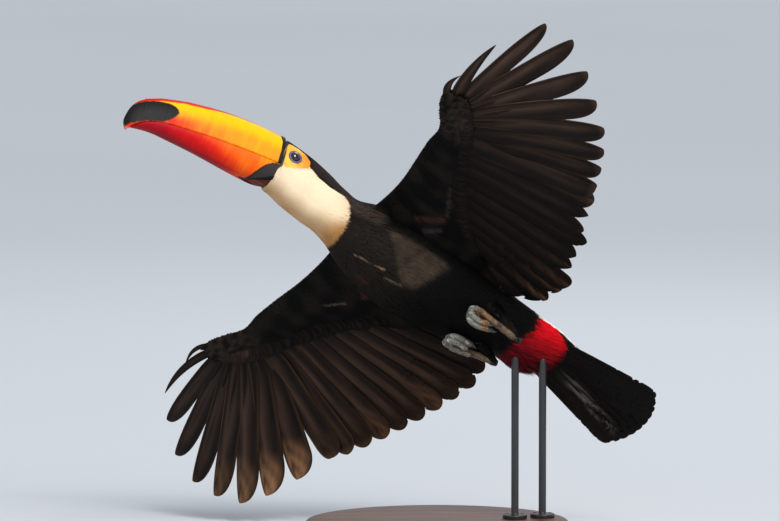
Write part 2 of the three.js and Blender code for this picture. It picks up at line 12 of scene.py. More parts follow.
import bpy
import numpy as np
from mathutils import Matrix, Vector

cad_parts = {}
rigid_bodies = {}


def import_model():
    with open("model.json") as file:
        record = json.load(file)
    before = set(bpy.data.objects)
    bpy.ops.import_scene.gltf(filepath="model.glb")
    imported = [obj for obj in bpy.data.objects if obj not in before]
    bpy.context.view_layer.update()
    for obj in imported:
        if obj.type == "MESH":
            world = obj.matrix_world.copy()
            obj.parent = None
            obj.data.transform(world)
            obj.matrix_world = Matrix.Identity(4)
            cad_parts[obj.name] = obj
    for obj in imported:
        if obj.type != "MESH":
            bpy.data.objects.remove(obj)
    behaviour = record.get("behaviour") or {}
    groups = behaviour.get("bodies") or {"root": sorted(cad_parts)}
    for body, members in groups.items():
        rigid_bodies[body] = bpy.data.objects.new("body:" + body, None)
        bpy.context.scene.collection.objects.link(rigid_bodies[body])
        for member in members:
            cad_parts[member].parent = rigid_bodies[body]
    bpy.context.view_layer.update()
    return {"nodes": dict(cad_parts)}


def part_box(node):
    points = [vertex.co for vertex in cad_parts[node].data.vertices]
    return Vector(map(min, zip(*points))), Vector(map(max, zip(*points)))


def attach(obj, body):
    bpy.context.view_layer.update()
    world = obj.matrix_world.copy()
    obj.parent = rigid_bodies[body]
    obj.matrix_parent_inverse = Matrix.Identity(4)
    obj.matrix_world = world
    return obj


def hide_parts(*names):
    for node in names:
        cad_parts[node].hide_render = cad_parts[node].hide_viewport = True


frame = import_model()
print("nodes in the frame:", len(frame["nodes"]))

# %% [markdown]
# ## Camera
# A telephoto view from eight metres, a little above the bird, keeps the wings' true
# proportions. It comes first, so that everything after it can be judged through it.

# %% Camera
CAMERA_PLACE = (-0.0499, -8.0146, 0.9933)
CAMERA_DOWN = 5                 # degrees below level
FOCAL_LENGTH = 351.65           # for a sensor 36 mm wide

camera_data = bpy.data.cameras.new("camera")
camera_data.lens = FOCAL_LENGTH
camera_data.sensor_width = 36
camera_data.clip_end = 60
camera = bpy.data.objects.new("camera", camera_data)
camera.location = CAMERA_PLACE
camera.rotation_euler = (math.radians(90 - CAMERA_DOWN), 0, 0)
bpy.context.scene.collection.objects.link(camera)
bpy.context.scene.camera = camera

# %% [markdown]
# ## Small tools
# Curves and turns are worked out for whole arrays at once. A curve here passes through its
# points with a slope at each that is half the step between its neighbours.

# %% Numbers, curves and turns
MM = 0.001


def smooth(x, low, high):
    """0 below low, 1 above high, and 3t^2 - 2t^3 between."""
    t = np.clip((x - low) / (high - low), 0, 1)
    return t * t * (3 - 2 * t)


def mix(a, b, share):
    """The value a share of the way from a to b."""
    return a + (b - a) * share


def unit(v):
    """The vectors scaled to length 1."""
    return v / np.maximum(np.linalg.norm(v, axis=-1, keepdims=True), 1e-12)


def curve(points, t):
    """Cubic through the points, t from 0 to 1 and even in their index, straight beyond the ends."""
    p = np.asarray(points, float)
    p = np.vstack([2 * p[0] - p[1], p, 2 * p[-1] - p[-2]])
    last = len(points) - 1
    t = np.asarray(t, float)
    x = np.clip(t, 0, 1) * last
    i = np.minimum(x.astype(int), last - 1)
    w = (x - i)[..., None]
    a, b, c, d = p[i], p[i + 1], p[i + 2], p[i + 3]
    m, n = (c - a) / 2, (d - b) / 2
    value = b + w * m + w**2 * (3 * (c - b) - 2 * m - n) + w**3 * (2 * (b - c) + m + n)
    slope = np.where(w < 0.5, m, n)
    return value + slope * ((t - np.clip(t, 0, 1)) * last)[..., None]


def profile(pairs, x):
    """A function of x through a few (x, value) pairs: the cubic above, with x even in each gap."""
    at, value = np.array(pairs, float).T
    i = np.clip(np.searchsorted(at, x) - 1, 0, len(at) - 2)
    share = np.clip((x - at[i]) / (at[i + 1] - at[i]), 0, 1)
    return curve(value[:, None], (i + share) / (len(at) - 1))[..., 0]


def rounding(x, start, end, power):
    """1 up to start, then down to 0 at the end along a quarter of a squarish oval."""
    share = np.clip((x - start) / (end - start), 0, 1)
    return (1 - share**power) ** (1 / power)


def circle(count):
    """Angles evenly round a full turn."""
    return np.linspace(0, 2 * np.pi, count, endpoint=False)


def oval(middle, right, up, across, upward, angle):
    """Points round a middle: middle + right across cos(angle) + up upward sin(angle)."""
    return middle + right * (across * np.cos(angle))[..., None] + up * (upward * np.sin(angle))[..., None]


def turned(about_z, about_y, about_x):
    """The matrix that turns about x, then y, then z, by degrees."""
    cz, cy, cx = np.cos(np.radians([about_z, about_y, about_x]))
    sz, sy, sx = np.sin(np.radians([about_z, about_y, about_x]))
    z = np.array([[cz, -sz, 0], [sz, cz, 0], [0, 0, 1]])
    y = np.array([[cy, 0, sy], [0, 1, 0], [-sy, 0, cy]])
    x = np.array([[1, 0, 0], [0, cx, -sx], [0, sx, cx]])
    return z @ y @ x


def distance_inside(points, outline):
    """How far each (u, v) point lies inside a closed outline: negative outside."""
    outline = np.array(outline, float)
    nearest = np.full(points.shape[:-1], 1e9)
    inside = np.zeros(points.shape[:-1], bool)
    for a, b in zip(outline, np.roll(outline, -1, axis=0)):
        along = b - a
        t = np.clip(((points - a) @ along) / (along @ along), 0, 1)
        nearest = np.minimum(nearest, np.linalg.norm(points - a - t[..., None] * along, axis=-1))
        crosses = (a[1] > points[..., 1]) != (b[1] > points[..., 1])
        rise = np.where(along[1] == 0, 1e-9, along[1])
        inside ^= crosses & (points[..., 0] < a[0] + along[0] * (points[..., 1] - a[1]) / rise)
    return np.where(inside, nearest, -nearest)


def ripple(points, size, seed=0):
    """Smooth noise, about -1 to 1, at points: six crossed sine waves of about the given size."""
    waves = np.random.default_rng(seed)
    total = 0
    for _ in range(6):
        direction = unit(waves.normal(size=points.shape[-1])) * (2 * np.pi / size) * waves.uniform(0.6, 1.5)
        total = total + np.sin(points @ direction + waves.uniform(0, 2 * np.pi))
    return total / 3.5


def colour(red, green, blue):
    """A display colour, 0 to 255, as the linear values that shaders use."""
    value = np.array([red, green, blue]) / 255
    return np.where(value <= 0.04045, value / 12.92, ((value + 0.055) / 1.055) ** 2.4)


# %% [markdown]
# ## Frames
# The bird flies along its own x, with y to its left and z to its back. The head has a frame of
# its own, whose x runs along the bill. Both match the frames the solids were made in.

# %% Frames
BIRD_ORIGIN = np.array([-84, -25.5, 320.5])
BIRD_TURN = turned(194.1, -33.9, 50.7)
HEAD_ORIGIN = np.array([113, 0, 14.4])
HEAD_TURN = turned(-8, 6.7, -30.9)
SIDES = ("left", "right")


def bird_to_row(p):
    """Millimetres in the bird's frame to metres in the row's."""
    return (p @ BIRD_TURN.T + BIRD_ORIGIN) * MM


def head_to_bird(p):
    """The head's frame to the bird's, in millimetres."""
    return np.asarray(p, float) @ HEAD_TURN.T + HEAD_ORIGIN


def bird_to_head(p):
    """The bird's frame to the head's, in millimetres."""
    return (p - HEAD_ORIGIN) @ HEAD_TURN


def mirror(p):
    """The bird's left to its right."""
    return p * np.array([1, -1, 1])


def on_side(name, p):
    """Points made for the left side, as they are or mirrored to the right."""
    return p if name == "left" else mirror(p)


# %% [markdown]
# ## Meshes from arrays
# Nearly every shape here is a closed tube: rings of points along a path, the last ring and the
# first closed by a cap. A feather is such a tube squashed flat. One function turns an array of
# many tubes into one mesh, with colours and maps given at its points.

# %% Mesh builder
def tube_faces(count, rings, sides):
    """Quads between the rings of each tube, and a cap of one face at each end."""
    index = np.arange(count * rings * sides).reshape(count, rings, sides)
    here, there = index[:, :-1], index[:, 1:]
    quads = np.stack([here, np.roll(here, -1, 2), np.roll(there, -1, 2), there], -1).reshape(-1, 4)
    caps = np.concatenate([index[:, 0, ::-1], index[:, -1]])
    return quads, caps


def set_tint(obj, tint):
    """Gives every point of a mesh its colour: linear red, green and blue."""
    rgba = np.concatenate([tint.reshape(-1, 3), np.ones((len(obj.data.vertices), 1))], 1)
    layer = obj.data.color_attributes.new("tint", "FLOAT_COLOR", "POINT")
    layer.data.foreach_set("color", rgba.astype(np.float32).ravel())


def make_mesh(name, points, quads, caps=None, tint=None, maps=None, flat=False):
    """A mesh object from points (n, 3) in row metres, quads (m, 4) and caps (k, sides)."""
    caps = np.zeros((0, 3), int) if caps is None else caps
    mesh = bpy.data.meshes.new(name)
    loops = np.concatenate([quads.ravel(), caps.ravel()]).astype(np.int32)
    sizes = np.concatenate([np.full(len(quads), 4), np.full(len(caps), caps.shape[1])])
    mesh.vertices.add(len(points))
    mesh.vertices.foreach_set("co", points.astype(np.float32).ravel())
    mesh.loops.add(len(loops))
    mesh.loops.foreach_set("vertex_index", loops)
    mesh.polygons.add(len(sizes))
    mesh.polygons.foreach_set("loop_start", np.concatenate([[0], np.cumsum(sizes)[:-1]]).astype(np.int32))
    mesh.polygons.foreach_set("use_smooth", np.full(len(sizes), not flat))
    mesh.update(calc_edges=True)
    obj = bpy.data.objects.new(name, mesh)
    bpy.context.scene.collection.objects.link(obj)
    if tint is not None:
        set_tint(obj, tint)
    for map_name, uv in (maps or {}).items():
        layer = mesh.uv_layers.new(name=map_name)
        layer.data.foreach_set("uv", uv.reshape(-1, 2)[loops].astype(np.float32).ravel())
    return obj


def make_tubes(name, rings, tint=None, maps=None):
    """One mesh of closed tubes from points (count, rings, sides, 3) in row metres.
    Faces look outwards: where the sum of (a x b) . along over a tube is negative, they are turned."""
    count, steps, sides, _ = rings.shape
    quads, caps = tube_faces(count, steps, sides)
    centre = rings.mean(2, keepdims=True)
    a, b = (rings - centre)[:, :-1], (np.roll(rings, -1, 2) - centre)[:, :-1]
    along = centre[:, 1:] - centre[:, :-1]
    inside_out = (np.cross(a, b) * along).sum((1, 2, 3)) < 0
    quads = np.where(np.repeat(inside_out, (steps - 1) * sides)[:, None], quads[:, ::-1], quads)
    caps = np.where(np.tile(inside_out, 2)[:, None], caps[:, ::-1], caps)
    return make_mesh(name, rings.reshape(-1, 3), quads, caps, tint, maps)


pieces_made = {}


def place(obj, material, slot, *replaced):
    """Gives a piece its material, hides the nodes it stands for, and mounts it; its slot is not used."""
    obj.data.materials.clear()
    obj.data.materials.append(material)
    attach(obj, "root")
    if replaced:
        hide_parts(*replaced)
    triangles = sum(len(p.vertices) - 2 for p in obj.data.polygons)
    pieces_made[obj.name] = triangles
    print(f"{obj.name}: {triangles} triangles")
    return obj


# %% [markdown]
# ## Materials as expressions
# A socket in a material is wrapped so that ordinary arithmetic on it adds the Math nodes. Any
# other node comes from one method that takes its type, its settings and its inputs.

# %% Shader tools
class Value:
    """One output in a material. Arithmetic on it adds Math nodes and gives a new Value."""

    def __init__(self, shader, socket):
        self.shader, self.socket = shader, socket

    def maths(self, operation, *values):
        return self.shader.node("ShaderNodeMath", {"operation": operation}, values)

    def __add__(self, other):
        return self.maths("ADD", self, other)

    def __sub__(self, other):
        return self.maths("SUBTRACT", self, other)

    def __mul__(self, other):
        return self.maths("MULTIPLY", self, other)

    def __radd__(self, other):
        return self.maths("ADD", other, self)

    def __rsub__(self, other):
        return self.maths("SUBTRACT", other, self)

    def __rmul__(self, other):
        return self.maths("MULTIPLY", other, self)

    def waves(self):
        """A sine wave with one period from each whole number to the next."""
        return self.maths("SINE", self * 6.283)

    def size(self):
        return self.maths("ABSOLUTE", self)

    def smooth(self, low, high):
        """0 below low and 1 above high, smooth between."""
        span = {"Value": self, "From Min": low, "From Max": high}
        return self.shader.node("ShaderNodeMapRange", {"interpolation_type": "SMOOTHSTEP"}, span)


class Shader:
    """A material with a Principled surface, and the means to add nodes to it."""

    def __init__(self, name, **constants):
        self.material = bpy.data.materials.new(name)
        self.material.use_nodes = True
        self.tree = self.material.node_tree
        self.surface = self.tree.nodes["Principled BSDF"]
        for key, value in constants.items():
            self.surface.inputs[key.replace("_", " ").title().replace("Ior", "IOR")].default_value = value

    def node(self, kind, settings=None, inputs=(), output=0):
        """A node of a kind: settings first, then inputs by number, name or identifier."""
        node = self.tree.nodes.new(kind)
        for key, value in (settings or {}).items():
            setattr(node, key, value)
        pairs = inputs.items() if isinstance(inputs, dict) else enumerate(inputs)
        for key, value in pairs:
            known = {s.identifier: s for s in node.inputs}
            socket = known[key] if key in known else node.inputs[key]
            if isinstance(value, Value):
                self.tree.links.new(value.socket, socket)
            else:
                socket.default_value = value
        known = {s.identifier: s for s in node.outputs}
        return Value(self, known[output] if output in known else node.outputs[output])

    def to(self, **inputs):
        """Links values to the surface's own sockets."""
        for key, value in inputs.items():
            self.tree.links.new(value.socket, self.surface.inputs[key.replace("_", " ").title()])
        return self.material

    def tint(self):
        return self.node("ShaderNodeAttribute", {"attribute_name": "tint"}, output="Color")

    def axes(self, map_name=None):
        """The three parts of the Object coordinates, or of one of the piece's own maps."""
        if map_name:
            source = self.node("ShaderNodeUVMap", {"uv_map": map_name})
        else:
            source = self.node("ShaderNodeTexCoord", output="Object")
        split = self.node("ShaderNodeSeparateXYZ", None, [source]).socket.node
        return [Value(self, part) for part in split.outputs]

    def place(self, scale=(1, 1, 1)):
        """Object coordinates, each times its own scale."""
        source = self.node("ShaderNodeTexCoord", output="Object")
        return self.node("ShaderNodeMapping", {"vector_type": "TEXTURE"},
                         {"Vector": source, "Scale": [1 / s for s in scale]})

    def stretched(self, x, y, z=0.0):
        """Coordinates put together from three values."""
        return self.node("ShaderNodeCombineXYZ", None, [x, y, z])

    def noise(self, scale, detail=3, where=None, rough=0.5):
        where = where or self.place()
        return self.node("ShaderNodeTexNoise", None, {"Vector": where, "Scale": scale,
                                                      "Detail": detail, "Roughness": rough})

    def mixed(self, share, a, b):
        """Colour a, turning to b by share."""
        def as_colour(value):
            return value if isinstance(value, Value) else (*[float(v) for v in value], 1)
        return self.node("ShaderNodeMix", {"data_type": "RGBA"}, {
            "Factor_Float": share, "A_Color": as_colour(a), "B_Color": as_colour(b)}, "Result_Color")

    def scaled(self, tint, by):
        """A colour times a number."""
        return self.node("ShaderNodeVectorMath", {"operation": "SCALE"}, {"Vector": tint, "Scale": by})

    def cells(self, scale):
        """The distance to the nearest border between small cells."""
        return self.node("ShaderNodeTexVoronoi", {"feature": "DISTANCE_TO_EDGE"},
                         {"Vector": self.place(), "Scale": scale})

    def bump(self, height, strength, distance):
        return self.node("ShaderNodeBump", None, {"Height": height, "Strength": strength,
                                                  "Distance": distance})


# %% [markdown]
# ## Floor and light
# A pale floor that fills the view, one large soft key lamp from the upper right, a weaker fill
# from the left, a rim lamp behind, an even light over everything and a pale surround. Black
# feathers need a broad light to show their form.

# %% Floor and light
FLOOR_TONES = (0.60, 0.63, 0.66), (0.66, 0.69, 0.72)
AIM = np.array([-0.05, 0, 0.32])        # the bird's middle, in metres
LAMPS = {                               # place and size in metres, power in watts, colour
    "key": ((1.3, -2.8, 2.8), 1.5, 60, (1.0, 0.97, 0.92)),
    "fill": ((-2.6, -2.4, 0.9), 2.2, 11, (0.95, 0.97, 1.0)),
    "rim": ((0.6, 2.4, 2.2), 1.4, 12, (1.0, 1.0, 1.0))}
SUN_FROM = np.array((0.45, -0.9, 1.3))
SURROUND = (0.86, 0.91, 1.0, 1)


def make_floor():
    """A square sheet, 40 m across, at z = 0."""
    corners = np.array([[-20, -20, 0], [20, -20, 0], [20, 20, 0], [-20, 20, 0]], float)
    floor = make_mesh("floor", corners, np.array([[0, 1, 2, 3]]), flat=True)
    shader = Shader("floor_pale", roughness=0.85)
    cloud = shader.noise(0.6, 2)
    floor.data.materials.append(shader.to(base_color=shader.mixed(cloud, *FLOOR_TONES)))


def aim(lamp, way):
    """Turns a lamp so that it shines along way."""
    lamp.rotation_euler = (math.atan2(math.hypot(way[0], way[1]), -way[2]), 0, math.atan2(-way[0], way[1]))
    bpy.context.scene.collection.objects.link(lamp)


def make_lamp(name, place_at, size, power, tint):
    """A square area lamp that faces the bird's middle."""
    data = bpy.data.lights.new(name, "AREA")
    data.size, data.energy, data.color = size, power, tint
    lamp = bpy.data.objects.new(name, data)
    lamp.location = place_at
    aim(lamp, AIM - np.array(place_at))


make_floor()
for name, lamp in LAMPS.items():
    make_lamp(name, *lamp)
sun = bpy.data.lights.new("even_light", "SUN")       # as broad as a soft box; it reaches the far floor
sun.angle = math.radians(24)
sun.energy = 1.7
aim(bpy.data.objects.new("even_light", sun), -SUN_FROM)
world = bpy.data.worlds.new("surround")
world.use_nodes = True
background = world.node_tree.nodes["Background"]
background.inputs["Color"].default_value = SURROUND
background.inputs["Strength"].default_value = 0.42
bpy.context.scene.world = world
bpy.context.scene.view_settings.view_transform = "Standard"

# %% [markdown]
# ## The body's surface
# Head, neck, trunk and tail coverts are one tapering form, given by stations from the tail to
# the bill: where its middle line runs, its half width, its height above and below that line,
# and how far it is rolled with the head. Everything that lies on the body is placed by a
# distance along it, an angle round it and a height above it.

# %% Body surface
HEAD_PLACES = head_to_bird([[-53, 0, -12], [-30, 0, -4], [-12, 0, 1.5], [5, 0, 4]])
BODY_PLACES = np.vstack([
    [[-263, 2, 13], [-240, 2, 12], [-212, 2, 10], [-180, 3, 7], [-145, 2, 3], [-105, 1, 0],
     [-65, 0, 0], [-30, 0, 0], [-2, 0, 1], [22, 0, 4], [41, 1, 8]], HEAD_PLACES])
BODY_HALVES = [[27, 5, 5], [32, 9, 14], [34, 15, 22], [35.5, 22, 29], [39, 31, 35], [45, 38, 45],
               [48, 40, 50], [46, 40, 45], [39, 39, 36], [28, 30.5, 29.5], [25.5, 28.5, 28.5],
               [25.5, 30.5, 29.5], [26, 31.3, 30.5], [24.5, 31, 29], [21.5, 32.6, 28]]
BODY_ROLLS = [[0], [0], [0], [0], [0], [0], [0], [0], [-4], [-12], [-22], [-30], [-31], [-31], [-31]]

CUTS = 1400                             # steps along a curve where distances are measured
SHARES = np.linspace(0, 1, CUTS + 1)
STEPS = np.linalg.norm(np.diff(curve(BODY_PLACES, SHARES), axis=0), axis=1)
DISTANCES = np.concatenate([[0], np.cumsum(STEPS)])
BODY_LENGTH = DISTANCES[-1]


def body_frame(along):
    """Middle, right, up and half sizes of the body at distances from its tail end, in mm."""
    before, after = STEPS[0] * CUTS, STEPS[-1] * CUTS
    share = np.interp(along, DISTANCES, SHARES)
    share = share + np.minimum(along, 0) / before + np.maximum(along - BODY_LENGTH, 0) / after
    forward = unit(curve(BODY_PLACES, share + 1e-4) - curve(BODY_PLACES, share - 1e-4))
    roll = np.radians(curve(BODY_ROLLS, share))
    z = np.array([0, 0, 1.0])
    leaning = forward * forward[..., 2:] * (1 - np.cos(roll))
    up = z * np.cos(roll) + np.cross(forward, z) * np.sin(roll) + leaning
    right = unit(np.cross(forward, up))
    half = np.maximum(curve(BODY_HALVES, share), 2)
    return curve(BODY_PLACES, share), right, np.cross(right, forward), half


def half_height(half, angle):
    """Half the body's height above or below its middle line, whichever the angle points to."""
    return np.where(np.sin(angle) > 0, half[..., 1], half[..., 2])


def body_point(along, angle, height):
    """The point at a distance along the body, an angle round it (90 is the back), and a height."""
    middle, right, up, half = body_frame(along)
    return oval(middle, right, up, half[..., 0] + height, half_height(half, angle) + height, angle)


def body_radius(along, angle):
    """The body's rough radius there, which turns a distance across it into an angle."""
    half = body_frame(along)[3]
    return np.sqrt((half[..., 0] * np.sin(angle)) ** 2 + (half_height(half, angle) * np.cos(angle)) ** 2)


# %% [markdown]
# ## Markings
# The head's markings are outlines seen from the side, in the head's frame: the bare orange
# skin round the eye, and the cream bib below and behind it. Elsewhere the bird is black, with
# red under the tail and white above it. Skin and feathers take their colour from one function.

# %% Markings
EYE = np.array([-13.3, 17, 14.2])          # centre of the left eyeball, in the head's frame
EYE_RADIUS = 7
BARE_PATCH = [(-2.6, -2), (-2.6, 24), (-5, 28.5), (-14, 29.5), (-24.5, 24.5), (-31, 16.5), (-30.5, 7.5),
              (-17, 1.8), (-5, -1)]
BIB = [(-1.5, -2), (-4, 0), (-17, 4), (-31, 10), (-42.5, 2.4), (-57, -2), (-70, -3.6), (-78, -5),
       (-84, -11), (-87, -23), (-87.5, -38), (-85, -53), (-79, -66), (-40, -70), (5, -60), (5, -12)]
ORANGE_SKIN = colour(250, 146, 12)
YELLOW_SKIN = colour(255, 200, 62)
LID_BLUE = colour(114, 104, 156)
LID_DARK = colour(44, 26, 52)
CREAM = colour(247, 224, 188)
TAN_AND_SHADE = colour(176, 128, 74)
BLACK = colour(4, 4, 4)
BREAST = colour(64, 53, 43)
RED = colour(212, 4, 20)
SHADED_RED = colour(84, 2, 14)
WHITE = colour(240, 236, 226)
DOWN = np.array([0.113, -0.86, -0.496])     # straight down, in the bird's frame


def head_side(p):
    """Bird-frame points as (x, z) in the head's frame, and their distance from its middle plane."""
    q = bird_to_head(p)
    return q[..., [0, 2]], np.abs(q[..., 1])


def bare_depth(p):
    """How far inside the bare face patch a point is, in mm: negative outside."""
    side, away = head_side(p)
    return np.minimum(distance_inside(side, BARE_PATCH), away - 6)


def blend(a, b, share):
    """Colours a turning to b by share, for whole arrays."""
    return a + (b - a) * np.asarray(share)[..., None]


def painted(tint, *layers):
    """A colour with layers of (colour, share) laid over it, one after the other."""
    for over, share in layers:
        tint = blend(tint, over, share)
    return tint


STREAKS = [                                # on nape, wings and belly: from, to, radius, colour, strength
    ((24, 27, 3), (-2, 37, -4), 14, colour(62, 50, 42), 0.9),
    ((80, 30, 20), (28, 27, 14), 11, colour(56, 43, 40), 0.8),
    ((-1, 3, -36), (-33, 14, -44), 1.3, colour(142, 116, 92), 0.8),
    ((-40, 7, -46), (-58, 12, -49), 2.6, colour(104, 88, 72), 0.6),
    ((-20, -15, -41), (-28, -14, -42), 5, colour(74, 38, 26), 0.7),
    ((-36, -44, -3), (-52, -60, -4), 5, colour(84, 44, 30), 0.7),
    ((-24, -97, -6), (-40, -80, -5), 1.8, colour(96, 84, 72), 0.7),
    ((-36, 120, -4), (-56, 86, -3), 2.4, colour(58, 50, 46), 0.6),
    ((-34, 64, -4), (-54, 78, -3), 6, colour(62, 40, 32), 0.7),
    ((-60, 66, -3), (-50, 56, -3), 4, colour(60, 54, 58), 0.6)]


def streaked(p, tint):
    """Adds the brown and tan streaks where black feathers part or catch the light."""
    for start, end, radius, streak, strength in STREAKS:
        start, way = np.array(start, float), np.subtract(end, start).astype(float)
        t = np.clip((p - start) @ way / (way @ way), 0, 1)
        away = np.linalg.norm(p - start - t[..., None] * way, axis=-1)
        share = smooth(-away, -radius, -radius * 0.4) * strength * (0.75 + 0.35 * ripple(p, 5, 6))
        tint = blend(tint, streak, np.clip(share, 0, 1))
    return tint


# %% [markdown]
# The plumage is worked out from the plainest colour up: black and brown first, then the
# streaks, the bib and the rump.

# %% Colours of the plumage
def cream_tint(p, side):
    """The bib's cream: tanned behind and low on the neck, partly its own tint and partly painted shade, and
    tanned with painted shade on the side that faces down.
    """
    # Tan behind and low on the neck: partly the bib's own tint, partly painted shade.
    behind = smooth(-side[..., 0], 62, 90) * 0.35 + smooth(-side[..., 1], 24, 46) * 0.8
    # Painted shade: tan on the side of the neck that faces down.
    below = smooth(p @ DOWN, 2, 27) * 0.78
    return blend(CREAM, TAN_AND_SHADE, np.clip(np.maximum(behind, below) + 0.06 * ripple(p, 20, 1), 0, 1))


def black_tint(p):
    """Black, with a brown patch of painted light that narrows from the bird's left side to its belly,
    and a faint brown along the whole underside, partly the plumage's own brown and partly painted
    light. The angle round the body is 180 at the left side."""
    from_left = np.abs(np.degrees(np.arctan2(p[..., 2], -p[..., 1])) % 360 - 180)
    down = np.clip((from_left - 22) / 60, 0, 1)
    inside = mix(40, 4, down) - np.abs(p[..., 0] - mix(-52, -62, down))
    # Painted light: the lit brown patch on the breast.
    patch = smooth(inside, -5, 8) * smooth(from_left, 14, 24) * smooth(-down, -1, -0.75)
    patch = patch * (p[..., 2] < 0) * (0.8 + 0.3 * ripple(p, 14, 2))
    # The faint brown below is partly the plumage's own, partly painted light.
    faint = 0.25 * smooth(p[..., 0], -95, -10) * smooth(-p[..., 2], 2, 30)
    return blend(BLACK, BREAST, np.clip(np.maximum(patch, faint), 0, 1))


def below_tail(p):
    """How far a point lies below the tail's middle line, seen as the bird is banked, in mm."""
    return -0.64 * (p[..., 1] - 2) - 0.53 * (p[..., 2] - 10)


def rump_tint(p, tint):
    """The red under the tail, darker with painted shade on its lowest side, and the white above it."""
    x, above = p[..., 0], p[..., 2] - 10
    start = 200 + 10 * smooth(p[..., 1], 5, 30)
    under = smooth(-x - start, 0, 6) * smooth(x, -264, -248)
    under = under * smooth(1.4 - 4 * smooth(-x, 232, 250) - above, -0.3, 0.3)
    # Painted shade: the red turns darker on the lowest side.
    shaded = smooth(below_tail(p), -20, 18)
    tint = blend(tint, blend(RED, SHADED_RED, np.clip(shaded + 0.22 * ripple(p, 10, 3), 0, 1)), under)
    upper = smooth(-x, 204, 214) * smooth(above - smooth(-x, 215, 260), 0.5, 1.5) * smooth(x, -268, -258)
    return blend(tint, WHITE, upper)


def plumage(p):
    """The plumage's colour at bird-frame points: black, with the cream bib and the red and white rump."""
    side, _ = head_side(p)
    bib = smooth(distance_inside(side, BIB), -0.5, 0.5)
    return rump_tint(p, blend(streaked(p, black_tint(p)), cream_tint(p, side), bib))


# %% [markdown]
# ## The wing's surface
# The arm with its small coverts is rounded in front and thin behind. The long feathers stand
# on quills: each is swept back from its root, bowed, and raised or lowered towards its tip.

# %% Wing surface
ARM_STATIONS = [[30, 8, -160, 8, 30], [62, 8, -108, 5, 23], [92, 11, -74, 1, 17],
                [125, 17, -46, -2, 14], [155, 22, -28, -6, 12], [178, 22.5, -16, -8, 10.5],
                [198, 34.5, -3, -10, 8], [214, 42, 10, -12, 5.5], [226, 43.5, 24, -13, 2.6]]
WRIST_SHARE = 0.8
ARM_SLACK = {"left": 4.5, "right": 0}
ARM_OUTS = curve(ARM_STATIONS, SHARES)[:, 0]
ELBOW = np.array([-20, 107, 0])
WRIST = np.array([14, 178, -8])
HAND_TIP = np.array([29, 212, -12])


def arm_section(back, thick, grow=0.0):
    """Half the arm's thickness at a share of the way back: fullest in front, thin behind."""
    s = 2 * np.sqrt(np.clip(back * (1 - back), 0, 1))
    half = thick / 2 * 1.9 * np.sqrt(back) * (1 - back) ** 1.15 + np.maximum(0.8 + grow, 0.3)
    return half * (0.65 * s**3 + 0.35 * s)


def arm_station(out, slack):
    """Leading edge, trailing edge, height and thickness of the arm at a distance out."""
    share = np.interp(out, ARM_OUTS, SHARES)
    _, lead, trail, height, thick = np.moveaxis(curve(ARM_STATIONS, share), -1, 0)
    lead = lead - slack * np.sin(np.pi * np.minimum(share / WRIST_SHARE, 1))
    return lead, trail, height, thick


def arm_point(x, out, side, lift, slack):
    """The arm's surface over (x, out), above (side 1) or below (side -1), raised by lift."""
    lead, trail, height, thick = arm_station(out, slack)
    back = np.clip((lead - x) / (lead - trail), 0, 1)
    return np.stack([x, out, height + side * (arm_section(back, thick) + lift)], -1)


def quill_point(quill, share):
    """Points along a quill: swept back, bowed forward and lifted."""
    length = np.sqrt(quill["length"] ** 2 - quill["lift"] ** 2)
    sweep = np.radians(quill["sweep"])
    along = np.array([-np.sin(sweep), np.cos(sweep), 0])
    across = np.array([np.cos(sweep), np.sin(sweep), 0])
    t = np.asarray(share)[..., None]
    bow = quill["bow"] * length * 4 * t * (1 - t)
    return quill["root"] + along * length * t + across * bow + np.array([0, 0, quill["lift"]]) * t**1.5


def make_quills():
    """Two tertials, the nine secondaries from the elbow out, and ten primaries to the leading edge."""
    like_secondary = dict(width=27, bow=0, tip_start=0.9, tip_power=2, front=0.42)
    quills = [dict(root=np.array([-22, 70, 7.0]), length=162, sweep=96, lift=4, **like_secondary),
              dict(root=np.array([-24, 84, 4.0]), length=180, sweep=100, lift=6, **like_secondary)]
    for i in reversed(range(9)):
        inward = i / 8
        length = mix(173, 196, inward) - 8 * float(smooth(inward, 0.87, 1))
        quills.append(dict(root=mix(WRIST, ELBOW, 0.06 + 1.06 * inward), length=length,
                           sweep=mix(73.3, 102, inward), lift=mix(-24, 7, inward), **like_secondary))
    lengths = [170, 174, 182, 188, 184, 179, 169, 146, 98, 46]
    sweeps = [68.6, 57.2, 46.9, 38.4, 30, 22.3, 14.4, 6.7, -6, -20]
    lifts = [-21, -39, -53, -57, -48, -31, -3, 19, 0, -7]
    widths = [29, 29, 28, 25, 22, 20, 19, 18, 14.5, 9]
    bows = [0, 0, 0, 0, 0, 0, 0.006, 0.025, 0.065, 0.14]
    fronts = [0.24, 0.2, 0.17, 0.17, 0.17, 0.17, 0.2, 0.28, 0.34, 0.45]
    for i, (length, sweep, lift) in enumerate(zip(lengths, sweeps, lifts)):
        outward = i / 9
        narrow = i > 7
        quills.append(dict(root=mix(WRIST, HAND_TIP, 0.1 + 0.9 * outward), length=length, sweep=sweep,
                           lift=lift, width=widths[i], bow=bows[i], front=fronts[i],
                           tip_start=0.25 if narrow else mix(0.88, 0.6, outward),
                           tip_power=1.4 if narrow else 2.2))
    return quills


QUILLS = make_quills()

# %% [markdown]
# ## One skin
# Under the feathers is a single closed skin: the body, both arms and both thighs joined by
# exact unions, so no seam shows anywhere. It lies below the coat by the coat's depth, and comes
# up to the surface only on the bare face. There it carries the lids, a raised ring close round
# the eyeball, and fine folds that run round and away from the eye.

# %% Skin
THIGHS = {"left": {"hip": [-152, 24, -8], "heel": [-195, 30, -38]},
          "right": {"hip": [-152, -16, -8], "heel": [-197, -19, -27]}}
THIGH_RADII = (13, 4.5)                 # at the hip and at the heel
LEG_TURNS = {"left": (0, -4, 0), "right": (-6.5, 9.4, 60)}      # about z, y and x, in degrees


